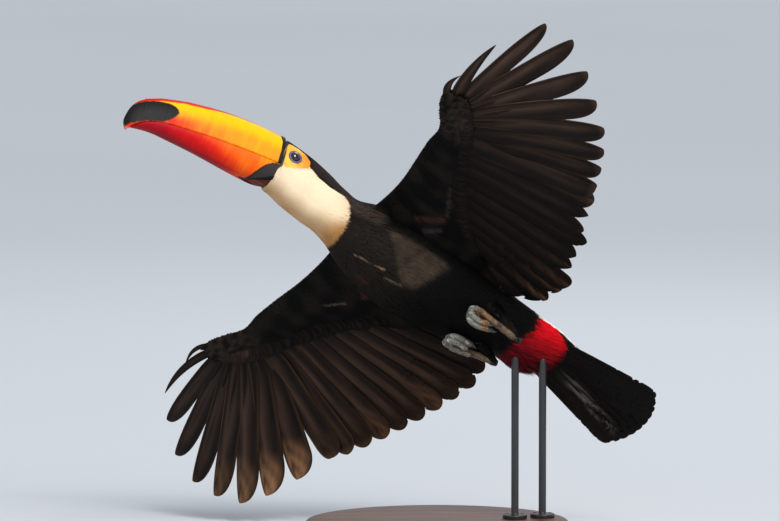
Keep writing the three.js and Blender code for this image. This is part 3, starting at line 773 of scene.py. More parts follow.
def coat_depth(p):
    """How deep the skin lies under the outer surface: the feathers' own depth there, in mm."""
    side, _ = head_side(p)
    near_head = smooth(side[..., 0], -150, -90)
    depth = mix(mix(2.6, 0.55, near_head), 2.0, smooth(-p[..., 0], 190, 220))
    return mix(depth, 0.1, np.maximum(smooth(bare_depth(p), -1.5, 1.0), smooth(side[..., 0], -8, -4)))


def eye_offset(p):
    """For head-frame points: distance from the nearer eye's axis, and the angle round it."""
    dx, dz = p[..., 0] - EYE[0], p[..., 2] - EYE[2]
    return np.hypot(dx, dz), np.arctan2(dz, dx)


def shape_face(p):
    """Moves head-frame points outwards for the lids and folds: a ring at 6 mm and ripples beyond."""
    r, angle = eye_offset(p)
    side = np.sign(p[..., 1])
    off_middle = smooth(np.abs(p[..., 1]), 12, 16)
    lid = 1.45 * np.exp(-(((r - 6.0) / 0.85) ** 2)) + 0.55 * np.exp(-(((r - 8.1) / 0.75) ** 2))
    groove = -0.35 * np.exp(-(((r - 7.2) / 0.35) ** 2)) - 0.3 * np.exp(-(((r - 9.4) / 0.5) ** 2))
    wrinkle = 0.16 * np.sin(2 * np.pi * (r + 0.5 * np.sin(angle * 3)) / 1.5) + 0.10 * np.sin(angle * 34 + r)
    folds = wrinkle * smooth(r, 8.5, 10.5) * smooth(-r, -22, -14)
    socket = -4.5 * smooth(-r, -5.05, -4.4)
    bare = smooth(bare_depth(head_to_bird(p)), -1, 1)
    out = p.copy()
    near_eye = np.maximum(bare, smooth(-r, -11, -9))
    out[..., 1] += side * off_middle * (socket + (lid + groove + folds) * near_eye)
    return out


def skin_tint(p):
    """The skin's colour: blue lids, orange face, and the plumage's colours under the feathers."""
    r, _ = eye_offset(bird_to_head(p))
    off_middle = smooth(head_side(p)[1], 12, 16)
    front = smooth(bird_to_head(p)[..., 0], -27, -12)
    lids = blend(LID_BLUE, LID_DARK, np.maximum(smooth(-r, -5.6, -5.1), smooth(r, 6.5, 7.0)))
    face = painted(ORANGE_SKIN,
                   (YELLOW_SKIN, np.clip(front * 0.85 + 0.25 * ripple(p, 7, 5), 0, 1)),
                   (lids, off_middle * smooth(-r, -7.9, -7.4)))
    return blend(plumage(p), face, smooth(bare_depth(p), -0.5, 0.5))


# %% [markdown]
# The thighs taper to the heel, where each foot hangs in a frame of its own. The shells of body,
# arms and thighs overlap, and exact unions make them one.

# %% Limbs and unions
def thigh_point(name, share, angle, grow):
    """The thigh: a taper from hip to heel, rounded off past the heel."""
    hip, heel = np.array(THIGHS[name]["hip"], float), np.array(THIGHS[name]["heel"], float)
    reach = np.linalg.norm(heel - hip)
    forward = (heel - hip) / reach
    right = unit(np.cross(forward, [0, 0, 1]))
    up = np.cross(right, forward)
    size = mix(*THIGH_RADII, share) * rounding(np.clip(share, 0, 1.09), 0.7, 1.1, 2) + grow
    reach = reach + (THIGH_RADII[1] + np.maximum(grow, -1)) * 0.6
    return oval(hip + forward * (reach * share)[..., None], right, up, size, size, angle)


def leg_to_bird(name, p):
    """A leg's frame at its heel, x to the toes and z to the belly, to the bird's frame."""
    return on_side(name, p) @ turned(*LEG_TURNS[name]).T + np.array(THIGHS[name]["heel"])


def union(objects, name):
    """The objects joined by exact unions into one closed, smoothly shaded mesh. They are removed."""
    first, rest = objects[0], objects[1:]
    for other in rest:
        joint = first.modifiers.new("join", "BOOLEAN")
        joint.operation = "UNION"
        joint.object = other
        joint.solver = "EXACT"
    graph = bpy.context.evaluated_depsgraph_get()
    mesh = bpy.data.meshes.new_from_object(first.evaluated_get(graph))
    mesh.polygons.foreach_set("use_smooth", np.ones(len(mesh.polygons), bool))
    for obj in objects:
        bpy.data.objects.remove(obj)
    joined = bpy.data.objects.new(name, mesh)
    bpy.context.scene.collection.objects.link(joined)
    return joined


def body_shell():
    """Rings round the body, closer together over the neck and the face than behind them."""
    along = np.concatenate([np.linspace(0.5, 300, 95), np.linspace(302, BODY_LENGTH - 5.3, 130)])
    a, t = np.meshgrid(along, circle(260), indexing="ij")
    p = body_point(a, t, -coat_depth(body_point(a, t, np.zeros_like(a))))
    return make_tubes("skin_body", bird_to_row(head_to_bird(shape_face(bird_to_head(p))))[None])


def arm_shell(name):
    """Rings across the arm, from its root to the hand: back over the top and forward below."""
    back = (1 - np.cos(np.linspace(0, np.pi, 25))) / 2
    loop = np.concatenate([back, back[-2:0:-1]])
    side = np.concatenate([np.ones(25), -np.ones(23)])
    out = np.interp(np.linspace(0.01, 0.99, 40), SHARES, ARM_OUTS)[:, None]
    lead, trail, height, thick = arm_station(out, ARM_SLACK[name])
    x = lead - 0.4 - (lead - trail - 0.8) * loop
    z = height + side * arm_section(loop[None], thick, -0.5)
    arm = np.stack([x, out + 0 * x, z], -1)
    return make_tubes("skin_arm", bird_to_row(on_side(name, arm))[None])


def thigh_shell(name):
    """Rings from the hip to past the heel, 1 mm below the thigh's coat."""
    s, t = np.meshgrid(np.linspace(0, 1, 24), circle(40), indexing="ij")
    return make_tubes("skin_thigh", bird_to_row(thigh_point(name, s, t, -1.0 + 0 * s))[None])


# %% [markdown]
# A union has new points, so the skin is coloured afterwards, at the places of its points.

# %% The skin itself
def vertices_in_bird_frame(obj):
    """A mesh's points, in millimetres, in the bird's frame."""
    co = np.zeros(len(obj.data.vertices) * 3, np.float32)
    obj.data.vertices.foreach_get("co", co)
    return (co.reshape(-1, 3) / MM - BIRD_ORIGIN) @ BIRD_TURN


def skin_material():
    """The skin's own colours, with pores and fine creases that catch the light."""
    s = Shader("bare_skin", roughness=0.5, subsurface_weight=0.08, subsurface_scale=0.003)
    s.surface.inputs["Subsurface Radius"].default_value = (1.0, 0.35, 0.12)
    pores = s.noise(1500, 3)
    creases = s.cells(900).smooth(0, 0.25)
    tint = s.scaled(s.tint(), 0.80 + 0.25 * pores + 0.1 * creases)
    return s.to(base_color=tint, normal=s.bump(pores + creases, 0.35, 0.0003))


shells = [body_shell()]
for name in SIDES:
    shells += [arm_shell(name), thigh_shell(name)]
skin = union(shells, "skin")
set_tint(skin, skin_tint(vertices_in_bird_frame(skin)))
place(skin, skin_material(), "head_skin_and_plumage", "head", "neck", "trunk", "tail_coverts",
      "wing_left_arm", "wing_right_arm", "thigh_left", "thigh_right")

# %% [markdown]
# ## Bill
# The bill is a light horn shell in two halves that meet along the gape. The upper half arches to
# a blunt ridge and hooks down at the tip, and its cutting edge is notched. Both halves are
# closed forms, given by a distance from the base and an angle over the arch.

# %% Bill
BILL_LENGTH = 170.5
BILL_TIP_START = 155
LOWER_BILL_LENGTH = 163
BILL_TIP_DEPTH = 29.2
CULMEN = [(0, 36.9), (32, 38.9), (70, 37.8), (109, 32.3), (138, 24.6), (155, 16.9)]
GAPE = [(0, 1.2), (40, 1.2), (80, 0), (110, -2), (133, -4.8), (150, -10.4), (171, -24.2)]
KEEL = [(0, -24), (28, -23.4), (55, -21), (84, -18), (115, -16.1), (140, -15.6), (163, -21.5)]
TIP_PATCH = [(118.4, 12), (120.4, 15.6), (123.5, 17.8), (130, 19.2), (139, 18), (147.5, 15.6), (154, 12.8),
             (160, 9.6), (164.5, 5.5), (169, 3), (175, -5), (175, -26), (168.5, -21.6), (162.5, -16.2),
             (155, -12), (147, -8.6), (138.5, -5.8), (130.5, -2.4), (125.5, 1.2), (121.5, 6.2)]
BASE_WEDGE = [(-6, -1), (-2.5, 0.7), (2, 0.9), (8.5, -1.4), (14, -5.2), (17.6, -9.3), (21, -14.4),
              (25.4, -20.8), (31, -26), (31, -40), (-6, -40)]
HORN_YELLOW = colour(255, 196, 0)
HORN_GOLD = colour(252, 150, 0)
HORN_ORANGE = colour(248, 98, 4)
HORN_SCARLET = colour(226, 40, 8)
HORN_RED = colour(200, 8, 12)
HORN_CRIMSON = colour(156, 0, 26)
RIDGE_DARK = colour(120, 22, 8)
HORN_BLACK = colour(24, 22, 22)
PATCH_RIM = colour(150, 70, 24)
GAPE_BROWN = colour(120, 52, 10)
WEDGE_GREY = colour(58, 52, 52)
RAMI_RED = colour(112, 14, 8)
RAMI_BROWN = colour(84, 40, 20)
TIP_PINK = colour(236, 150, 120)
UPPER_RINGS = 420
LOWER_RINGS = 360
ARCH = np.linspace(0, np.pi, 101)[None]             # angles over a half, from rim to rim
FLOOR = np.linspace(-0.94, 0.94, 15)[None]          # and back across it, as a share of its width
FLOOR_RISE = 0.9 * (1 - np.linspace(-1, 1, 15)[None] ** 2)
LOWER_BANDS = [                                     # colour, lean, start and end along, strength
    (HORN_ORANGE, 30, 6, 44, 1), (HORN_SCARLET, 52, 52, 104, 1), (HORN_RED, 44, 82, 126, 1),
    (HORN_CRIMSON, 22, 112, 146, 0.85)]


def bill_half_width(x):
    """21.5 mm at the base, narrowing by 0.62 (x / length)^1.5 of that."""
    return 21.5 * (1 - 0.62 * (x / BILL_LENGTH) ** 1.5)


def bill_teeth(x):
    """The worn notches of the cutting edge: uneven, deeper in the front half, in mm."""
    wave = np.sin(2 * np.pi * x / 8.6 + 1.3 * np.sin(x / 17))
    return 0.06 * smooth(x, 18, 60) * smooth(-x, -160, -140) * np.maximum(wave, -0.2)


def hooked(points):
    """Curls the tip back: points there that lie d mm lower than -12 move 5.2 (d / 11.5)^2 mm back."""
    x, _, z = np.moveaxis(points, -1, 0)
    low = np.maximum(-12 - z, 0) / 11.5
    out = points.copy()
    out[..., 0] -= 5.2 * low**2 * smooth(x, BILL_TIP_START - 15, BILL_TIP_START + 5)
    return out


def rami_width(x):
    """Half the gap between the two branches of the lower bill: 16 mm at the base, closing at 30 mm."""
    return 16 * (1 - (np.clip(x, 0, 30) / 30) ** 1.4)


def ring_places(length, count):
    """Distances of the rings from the base, closer together towards the tip."""
    return length * (1 - (1 - np.linspace(0, 1, count)[:, None]) ** 1.6)


def growth_ridges(x, arch, end, seed):
    """Low, uneven ridges in the horn, up to 0.1 mm, fading at the rim and at the tip."""
    return 0.10 * ripple(np.stack([x * 4 + 0 * arch, arch + 0 * x], -1), 6, seed) * arch * end


def horn_shell(x, y, z, floor_y, floor_z):
    """The rings of a half: over its arch and back across its floor, with the tip hooked. With them
    goes how far round each point is: 0 to 1 over the arch, and back."""
    rings = [np.stack([x + 0 * z, y, z], -1), np.stack([x + 0 * floor_z, floor_y, floor_z], -1)]
    around = np.concatenate([ARCH / np.pi, np.linspace(1, 0, FLOOR.size)[None]], 1)
    return hooked(np.concatenate(rings, 1)), np.broadcast_to(around, (len(x), around.size))


def upper_bill_rings():
    """y = width cos(angle), z = rim + height sin(angle)^0.85 over the arch; a hollow floor below."""
    x = ring_places(BILL_LENGTH - 0.25, UPPER_RINGS)
    rim = profile(GAPE, x) + 0.01
    end = rounding(x, BILL_TIP_START, BILL_LENGTH, 3)
    ridge = np.where(x < BILL_TIP_START, profile(CULMEN, x), rim + BILL_TIP_DEPTH * end)
    width = bill_half_width(x) * rounding(x, BILL_TIP_START - 20, BILL_LENGTH, 2.4)
    arch = np.sin(ARCH).clip(0) ** 0.85
    growth = growth_ridges(x, arch, end, 11)
    base = 0.55 * smooth(-x, -4.6, -3.2)
    y = (width + base + growth) * np.cos(ARCH)
    z = rim + (ridge - rim + base + growth) * arch + bill_teeth(x) * (1 - arch) ** 6
    return horn_shell(x, y, z, width * FLOOR, rim + bill_teeth(x) * 0.5 + FLOOR_RISE * end)


def lower_bill_rings():
    """y = width cos(angle), z = rim - depth sin(angle)^0.8, with a groove between the two branches."""
    x = ring_places(LOWER_BILL_LENGTH - 0.3, LOWER_RINGS)
    rim = profile(GAPE, x) - 0.01
    end = rounding(x, LOWER_BILL_LENGTH - 30, LOWER_BILL_LENGTH, 2.2)
    depth = np.maximum(rim - profile(KEEL, x), 2) * end
    width = (bill_half_width(x) - 0.6) * end
    drop = np.sin(ARCH).clip(0) ** 0.8
    reach = rami_width(x) - np.abs(bill_half_width(x) * np.cos(ARCH))
    middle = 1.0 * np.exp(-((np.cos(ARCH) / 0.16) ** 2)) * smooth(-x, -75, -30)
    groove = 2.2 * smooth(reach, -0.6, 3.0) * smooth(-x, -29, -20) + middle
    growth = growth_ridges(x, drop, end, 12)
    z = rim - (depth + growth) * drop + groove
    return horn_shell(x, (width + growth) * np.cos(ARCH), z, width * FLOOR, rim - FLOOR_RISE * end)


# %% [markdown]
# The bill's colours run into one another, so each is laid over the last by a smooth share.

# %% The bill's colours
def growth_streaks(x, z, seed):
    """Uneven colour along the bill, about -1 to 1: broad clouds and fine upright streaks."""
    broad = ripple(np.stack([x, z * 0.3], -1), 16, seed)
    return broad + 0.7 * ripple(np.stack([x, z * 0.12], -1), 4.2, seed + 40)


def gape_line(p, off):
    """How brown the seam between the halves is: a broken line 0.7 mm wide, by the distance off it."""
    line = smooth(-np.abs(off - 0.2), -0.75, -0.35) * (0.12 + 0.2 * ripple(p, 6, 25)).clip(0)
    return line * smooth(-p[..., 0], -150, -120)


def upper_bill_tint(p):
    """Yellow, orange at the base and along the gape, a red ridge, a black base band and tip patch."""
    x, _, z = np.moveaxis(p, -1, 0)
    low, high = profile(GAPE, x), profile(CULMEN, x)
    rise = (z - low) / np.maximum(high - low, 3)
    uneven = growth_streaks(x, z, 21)
    orange = smooth(-rise, -0.50, -0.08) * smooth(x, 44, 96)
    gape_red = smooth(-rise, -0.46, -0.10) * smooth(x, 88, 128)
    tip = low + (BILL_TIP_DEPTH - 0.2) * rounding(x, BILL_TIP_START, BILL_LENGTH, 3)
    below_ridge = z - np.where(x < BILL_TIP_START, high, tip)
    deep = mix(2.4, 5.2, smooth(x, 44, 96)) - 0.6 * smooth(x, 100, 140) + 0.4 * ripple(p, 14, 24)
    patch = distance_inside(np.stack([x, z], -1), TIP_PATCH) + 0.25 * ripple(p, 4, 26)
    band = 3.4 + 1.7 * smooth(z, 22, 36) + 0.3 * ripple(p, 9, 22)
    return painted(
        HORN_YELLOW,
        (HORN_GOLD, np.clip(smooth(-rise, -0.74, -0.26) + 0.10 * uneven, 0, 1)),
        (HORN_ORANGE, np.clip(orange * (1 + 0.25 * uneven), 0, 1)),
        (HORN_SCARLET, np.clip(gape_red * (0.95 + 0.2 * uneven), 0, 1)),
        (HORN_SCARLET, smooth(below_ridge + deep, -0.8, 0.5)),
        (blend(RIDGE_DARK, HORN_RED, smooth(x, 50, 90)), smooth(below_ridge + deep * 0.7, -0.6, 0.5)),
        (GAPE_BROWN, gape_line(p, z - low)),
        (PATCH_RIM, smooth(patch, -1.3, -0.2) * 0.55),
        (HORN_BLACK, smooth(patch, -0.45, 0.35)),
        (TIP_PINK, smooth(-z, 20.5, 22.5) * smooth(x, 158, 161)),
        (HORN_BLACK, smooth(band - x, -0.3, 0.3)))


def lower_bill_tint(p):
    """Orange at the base and gape, deepening to crimson below and in front, with painted shade along
    the lowest edge, a black wedge at the base and dull skin between the branches."""
    x, y, z = np.moveaxis(p, -1, 0)
    low, high = profile(KEEL, x), profile(GAPE, x)
    fall = np.clip((high - z) / np.maximum(high - low, 3), 0, 1)
    uneven = growth_streaks(x, z, 23)
    bands = [(tone, np.clip(smooth(x + lean * fall, start, end) + 0.1 * uneven, 0, 1) * strength)
             for tone, lean, start, end, strength in LOWER_BANDS]
    wedge = distance_inside(np.stack([x, z], -1), BASE_WEDGE) + 0.2 * ripple(p, 5, 27)
    reach = rami_width(x) - np.abs(y)
    under = smooth(-z, 11, 14)
    return painted(
        HORN_GOLD, *bands,
        # Painted shade: darker along the bill's lowest edge.
        (HORN_CRIMSON * 0.45, smooth(fall, 0.88, 1.0) * 0.7 * smooth(x, 20, 60)),
        (GAPE_BROWN, gape_line(p, high - z)),
        (HORN_BLACK, smooth(wedge, -0.5, 0.4)),
        (WEDGE_GREY, smooth(wedge, 1.0, 2.4) * 0.8),
        (HORN_BLACK * 0.4, smooth(reach, -3.2, -2.2) * under * smooth(-x, -36, -31)),
        (blend(RAMI_RED, RAMI_BROWN, smooth(-x, -16, -4)), smooth(reach, 1.2, 2.4) * under))


# %% [markdown]
# Each half has a map of its own, along and round the bill, for the horn's growth lines.

# %% The bill's horn
def horn_material(name):
    """Almost matt horn: its own colours, broken by fine upright growth lines and faint scratches."""
    s = Shader(name, specular_ior_level=0.16)
    along, around, _ = s.axes("lie")
    growth = s.noise(1.0, 4, s.stretched(along * 230, around * 5), 0.6)
    scratch = s.noise(1.0, 2, s.stretched(along * 14, around * 160), 0.7).smooth(0.62, 0.72)
    cloud = s.noise(60, 2)
    tint = s.scaled(s.tint(), 0.80 + 0.24 * growth + 0.14 * cloud)
    roughness = 0.42 + 0.16 * growth + 0.12 * scratch
    return s.to(base_color=tint, roughness=roughness, normal=s.bump(growth + 0.3 * scratch, 0.25, 0.0004))


def make_half_bill(name, rings, around, tint, slot):
    """Half of the bill. Its map runs along the bill, in shares of 180 mm, and round the arch."""
    lie = np.stack([rings[..., 0] / 180, around], -1)
    half = make_tubes(f"bill_{name}_horn", bird_to_row(head_to_bird(rings))[None], tint, {"lie": lie})
    place(half, horn, slot, f"bill_{name}")


horn = horn_material("bill_horn")
upper, lower = upper_bill_rings(), lower_bill_rings()
make_half_bill("upper", *upper, upper_bill_tint(upper[0]), "bill_orange")
make_half_bill("lower", *lower, lower_bill_tint(lower[0]), "bill_red")

# %% [markdown]
# ## Eyes
# The eye is a ball set in the lids, with a clearer bulge over a very dark iris and pupil.
# It is turned a little forward, as a toucan's eye is. A wet coat gives it its highlight.

# %% Eyes
PUPIL = colour(4, 4, 5)
IRIS = colour(52, 26, 16)
EYE_WHITE = colour(70, 62, 60)


def make_eye(name, side):
    """Rings at polar angles from the front: radius 7, with 0.35 mm more over the iris."""
    polar, turn = np.meshgrid(np.linspace(0.001, np.pi - 0.001, 60), circle(64), indexing="ij")
    radius = EYE_RADIUS - 0.05 + 0.35 * np.exp(-((polar / 0.55) ** 4))
    out = np.array([0.10, side, -0.02])
    out = out / np.linalg.norm(out)
    first = unit(np.cross(out, [0, 0, 1.0]))
    off_axis = np.sin(polar)
    ball = oval(np.cos(polar)[..., None] * out, first, np.cross(out, first), off_axis, off_axis, turn)
    p = EYE * np.array([1, side, 1]) + radius[..., None] * ball
    away = EYE_RADIUS * off_axis
    rays = 0.5 + 0.5 * np.sin(turn * 46 + 3 * np.sin(turn * 5)) * smooth(away, 2.6, 3.4)
    tint = painted(PUPIL, (IRIS, smooth(away, 2.45, 2.7) * (0.5 + 0.5 * rays)),
                   (EYE_WHITE, smooth(away, 4.7, 5.0)))
    eyeball = make_tubes(f"eyeball_{name}", bird_to_row(head_to_bird(p))[None], tint)
    s = Shader(f"wet_eye_{name}", roughness=0.12, coat_weight=1.0, coat_roughness=0.02)
    cloud = s.noise(2500, 2)
    place(eyeball, s.to(base_color=s.scaled(s.tint(), 0.85 + 0.3 * cloud)), "eye", f"eye_{name}")


make_eye("left", 1)
make_eye("right", -1)

# %% [markdown]
# ## Small feathers
# Every small feather is a slim, closed, slightly arched vane, rooted in the skin and reaching
# the outer surface at its tip, so that each row covers the roots of the next. They are
# laid out in rows round the body, smallest on the face. The bake map gives each vane a small
# patch at its root's place on the skin, unrolled by distance along the body and angle round it.

# %% Vanes on a surface
BAKE_PATCH = 0.003                      # side of a vane's patch, as a share of the bake map
TUFT_SHARES = np.array([0, 0.32, 0.7, 1.0])
TUFT_WIDTHS = np.array([0.55, 1.0, 0.74, 0.07])
SECTION_ACROSS = np.array([-1.0, 0, 1, 0])
SECTION_UP = np.array([0, 1.0, 0, -1])


def plumage_material(name, roughness, sheen, tint_range=(0.75, 0.35), cloudy=0.18, relief=0.3, **more):
    """Feather: its own colour, darker at the root, with barbs as fine slanting lines."""
    s = Shader(name, roughness=roughness, sheen_weight=sheen, sheen_roughness=0.4, **more)
    across, along, _ = s.axes("vane")
    barbs = (along * 22 + (across - 0.5).size() * 16).waves()
    cloud = s.noise(140, 3)
    shade = tint_range[0] + tint_range[1] * along + cloudy * cloud + 0.05 * barbs
    return s.to(base_color=s.scaled(s.tint(), shade), normal=s.bump(barbs + cloud, relief, 0.0002))


def sharpen_sides(mesh, steps, sides):
    """Marks the side lines and end of every vane sharp, so that it is shaded as a blade, not a tube."""
    ends = np.zeros(len(mesh.edges) * 2, np.int32)
    mesh.edges.foreach_get("vertices", ends)
    a, b = ends.reshape(-1, 2).T
    side_line = (a % sides == b % sides) & (a % 2 == 0) & (np.abs(a - b) == sides)
    end_line = (a // sides == b // sides) & (a // sides % steps == steps - 1)
    sharp = side_line | end_line
    mesh.attributes.new("sharp_edge", "BOOLEAN", "EDGE").data.foreach_set("value", sharp)


def each(values):
    """One value per vane, shaped to spread over the vane's points."""
    return np.asarray(values)[:, None, None]


def make_tufts(name, locate, length, width, depth, rise, bake, seed, colours=plumage, loose=0.18,
               uneven=0.08, arch=0.2, whole=False):
    """Vanes from roots: locate(along, across, height) gives points; sizes are numbers or one per root.
    A vane takes the marking's colour at each step along it, so that markings keep crisp edges, or,
    where vanes are whole, the one colour of a place near its tip, so that their edges are feathered."""
    r = np.random.default_rng(seed)
    count = len(bake)
    t = TUFT_SHARES[None, :, None]
    length = each(length * r.uniform(0.8, 1.2, count))
    drift = each(r.normal(0, 0.10, count)) * length * t**2
    half = each(width * r.uniform(0.8, 1.2, count)) * TUFT_WIDTHS[None, :, None] / 2
    across = half * SECTION_ACROSS + drift
    tip = each(rise + r.normal(0, 1, count) * loose)
    base = each(np.broadcast_to(-depth + 0.15, count))
    height = base + (tip - base) * t**0.5 + half * arch * (1 - np.abs(SECTION_ACROSS))
    height = height + (0.09 if arch > 0.1 else 0.05) * SECTION_UP * (1.3 - t)
    along = length * t + 0 * across
    points = locate(along, across, height)
    shade = each(r.uniform(1 - uneven, 1 + uneven, count)) * (0.9 + 0.12 * t) + 0 * across
    tints = colours(points[:, 2:3, 1] if whole else points[:, :, 1])[:, :, None, :] * shade[..., None]
    vane = np.stack([(SECTION_ACROSS + 1) / 2 + 0 * along, t + 0 * across], -1)
    patch = bake[:, None, None, :] + BAKE_PATCH * (vane - 0.5)
    coat = make_tubes(name, bird_to_row(points), tints, {"OFBake": patch, "vane": vane})
    sharpen_sides(coat.data, len(TUFT_SHARES), len(SECTION_ACROSS))
    return coat


# %% [markdown]
# The body carries its vanes in staggered rows. They are longest on the trunk and at the tail,
# and under the tail the tips hang away from the body.

# %% Roots on the body
def body_roots(low, high, spacing, seed):
    """Roots in staggered rows round the body: distance along it and angle round it."""
    r = np.random.default_rng(seed)
    rows, at, odd = [], low, 0.0
    while at < high:
        gap = float(spacing(at))
        half = body_frame(np.array(at))[3]
        round_it = np.pi * (half[0] + (half[1] + half[2]) / 2)
        count = int(round_it / gap)
        angle = (np.arange(count) + odd + r.uniform(-0.3, 0.3, count)) * 2 * np.pi / count
        rows.append(np.stack([at + r.uniform(-0.35, 0.35, count) * gap, angle % (2 * np.pi)], -1))
        at, odd = at + gap, 0.5 - odd
    return np.concatenate(rows)


def body_gap(at):
    """Spacing of the rows: 2.7 mm on the trunk, closing to 1.45 mm on the head."""
    return mix(2.7, 1.45, smooth(at, 250, 330))


def make_body_coat(name, roots, length, width, rise, material, slot, seed, uneven):
    """Vanes lying tailwards on the body from the given roots."""
    at, angle = roots.T
    surface = body_point(at, angle, np.zeros(len(at)))
    radius = each(np.maximum(body_radius(at, angle), 8))

    def locate(along, across, height):
        return body_point(each(at) - along, each(angle) + across / radius, height)

    bake = np.stack([angle / (2 * np.pi), at / BODY_LENGTH], -1) * 0.98 + 0.01
    loose = mix(0.22, 0.02, smooth(head_side(surface)[0][:, 0], -150, -90))
    coat = make_tufts(name, locate, length, width, coat_depth(surface), rise, bake, seed, plumage, loose,
                      uneven, 0.08 if uneven < 0.05 else 0.2, whole=name == "coat_tail_coverts")
    return place(coat, material, slot)


satin_black = plumage_material("plumage_black", 0.55, 0.0, specular_ior_level=0.075)
soft_cream = plumage_material("plumage_cream", 0.9, 0.05, (0.98, 0.02), 0.04, 0.05, specular_ior_level=0.2)
soft_red = plumage_material("plumage_red", 0.7, 0.0, (0.78, 0.28), specular_ior_level=0.12)

VANE_LENGTHS = (17, 6.4, 19)            # on the trunk, on the head and at the tail, in mm
VANE_WIDTHS = (4.2, 2.3, 2.8)

roots = body_roots(1.0, BODY_LENGTH - 5, body_gap, 31)
at, angle = roots.T
places = body_point(at, angle, np.zeros(len(roots)))
near_head = smooth(head_side(places)[0][:, 0], -170, -92)
near_tail = smooth(-at, -75, -50)
lengths, widths = (mix(mix(trunk, head, near_head), tail, near_tail)
                   for trunk, head, tail in (VANE_LENGTHS, VANE_WIDTHS))
hanging = near_tail * smooth(below_tail(places), 12, 26) * smooth(places[:, 0], -246, -228)
rises = mix(0.5, 0.06, near_head) + 6.5 * hanging
tips = body_point(at - 0.85 * lengths, angle, np.zeros(len(roots)))
print("roots on the body:", len(roots))

# %% [markdown]
# No vane grows on the bare face, ahead of the head's front edge or where a leg comes through.
# The rest are shared out into pieces by the colour and the place of their tips.

# %% The body's coat
LEG_CLEARANCE = 5.5                     # radius that a leg keeps free of vanes, in mm
VENT_FROM = -186                        # along the bird, in its own frame
HEAD_FROM = -70                         # along the head, in its own frame

x, z = head_side(places)[0].T
front_edge = np.where(z < -10, 1.5, -1.0)
bald = (bare_depth(places) > -0.5) | (bare_depth(tips) > 0.8) | (x > front_edge)
bald |= (x > -4) & (z > -1) & (z < 25)
for name in SIDES:
    leg_line = leg_to_bird(name, np.linspace([-2, 0, 0], [56, 0, 0], 30))
    for ends in (places, tips):
        bald |= np.linalg.norm(ends[:, None] - leg_line, axis=-1).min(1) < LEG_CLEARANCE
in_bib = distance_inside(head_side(tips)[0], BIB) > 0
vent = (np.abs(plumage(tips) - BLACK).sum(1) > 0.05) & (tips[:, 0] < VENT_FROM)
black = ~in_bib & ~bald & ~vent
on_head = x > HEAD_FROM
below = np.sin(angle) < 0
groups = {
    "coat_bib": (in_bib & ~bald, soft_cream, "cream_plumage", 0.015),
    "coat_tail_coverts": (vent & ~in_bib, soft_red, "red_plumage", 0.08),
    "coat_crown_and_nape": (on_head & black, satin_black, "black_plumage", 0.08),
    "coat_belly": (~on_head & black & below, satin_black, "black_plumage", 0.08),
    "coat_back": (~on_head & black & ~below, satin_black, "black_plumage", 0.08),
}
for number, (name, (chosen, material, slot, uneven)) in enumerate(groups.items()):
    make_body_coat(name, roots[chosen], lengths[chosen], widths[chosen], rises[chosen], material, slot,
                   40 + number, uneven)

# %% [markdown]
# ## Flight and tail feathers
# A long feather is a shaft with two vanes: narrow in front, broad behind. Each is one closed,
# thin form on its quill. Its vanes slope towards the neighbouring quills, so that the feathers
# make one surface, and a slight tilt tucks each broad vane under the next feather. Worn
# edges are split here and there where barbs have parted.

# %% Vanes
ACROSS = np.array([-1, -0.93, -0.8, -0.6, -0.4, -0.2, -0.07, 0, 0.07, 0.25, 0.5, 0.75, 0.9, 1])
AROUND = np.concatenate([ACROSS, ACROSS[-2:0:-1]])
TOP = np.concatenate([np.ones(len(ACROSS)), -np.ones(len(ACROSS) - 2)])
VANE_STEPS = 84
QUILL_COLOUR = colour(60, 47, 38)
BROWN = colour(88, 66, 54)
DARK_BROWN = colour(15, 12, 12)
EDGE_HIGHLIGHT = colour(128, 94, 66)
TAN_WEAR_AND_LIGHT = colour(178, 130, 92)
TAIL_GREY = colour(132, 118, 116)


def slope_towards(quill, other, share):
    """How steeply the surface rises from one quill to the next."""
    if other is None:
        return 0 * share
    here = quill_point(quill, share)
    there = quill_point(other, np.minimum(1, share * quill["length"] / other["length"]))
    apart = np.maximum(np.hypot(*(there - here)[..., :2].T), 6)
    return np.clip((there - here)[..., 2] / apart, -0.35, 0.35)


def splits(share, r, count, deepest):
    """A vane's width share along its edge: 1, with a few narrow splits, more of them near the tip."""
    keep = np.ones_like(share)
    for _ in range(count):
        at, wide, deep = r.uniform(0.35, 1.0) ** 0.6, r.uniform(0.004, 0.011), r.uniform(0.04, deepest)
        keep = keep - deep * np.clip(1 - np.abs(share - at) / wide, 0, 1)
    return np.clip(keep, 0.45, 1)


def vane_form(quill, ahead, behind, r, split_count=5, tilt=math.tan(math.radians(4)), steps=VANE_STEPS,
              deepest=0.2):
    """One feather's rings, and at each point how far along (0 to 1) and across (-1 to 1) it is."""
    share = 1 - (1 - np.linspace(0, 0.9995, steps)) ** 1.5
    full = quill["width"] * mix(0.5, 1, smooth(share, 0, 0.3))
    full = np.maximum(full * rounding(share, quill["tip_start"], 1, quill["tip_power"]), 0.4)
    front = quill["front"] * full * splits(share, r, split_count // 2, deepest)
    back = (1 - quill["front"]) * full * splits(share, r, split_count, deepest)
    side = np.where(AROUND > 0, AROUND * front[:, None], AROUND * back[:, None])
    slope = np.where(AROUND > 0, slope_towards(quill, ahead, share)[:, None],
                     slope_towards(quill, behind, share)[:, None])
    shaft = np.exp(-((AROUND / 0.09) ** 2)) * (0.9 * (1 - share[:, None]) ** 0.8 + 0.18)
    thick = 0.20 * (1 - 0.6 * np.abs(AROUND)) + shaft
    curl = -0.06 * np.abs(side) * smooth(share, 0.2, 0.9)[:, None]
    sweep = np.radians(quill["sweep"])
    across = np.array([np.cos(sweep), np.sin(sweep), 0])
    points = quill_point(quill, share)[:, None] + across * side[..., None]
    points[..., 2] += np.abs(side) * slope + tilt * side + curl + TOP * thick
    return points, share[:, None] + 0 * side, AROUND + 0 * side


# %% [markdown]
# A long feather's colour follows its own length and width. One material draws its barbs.

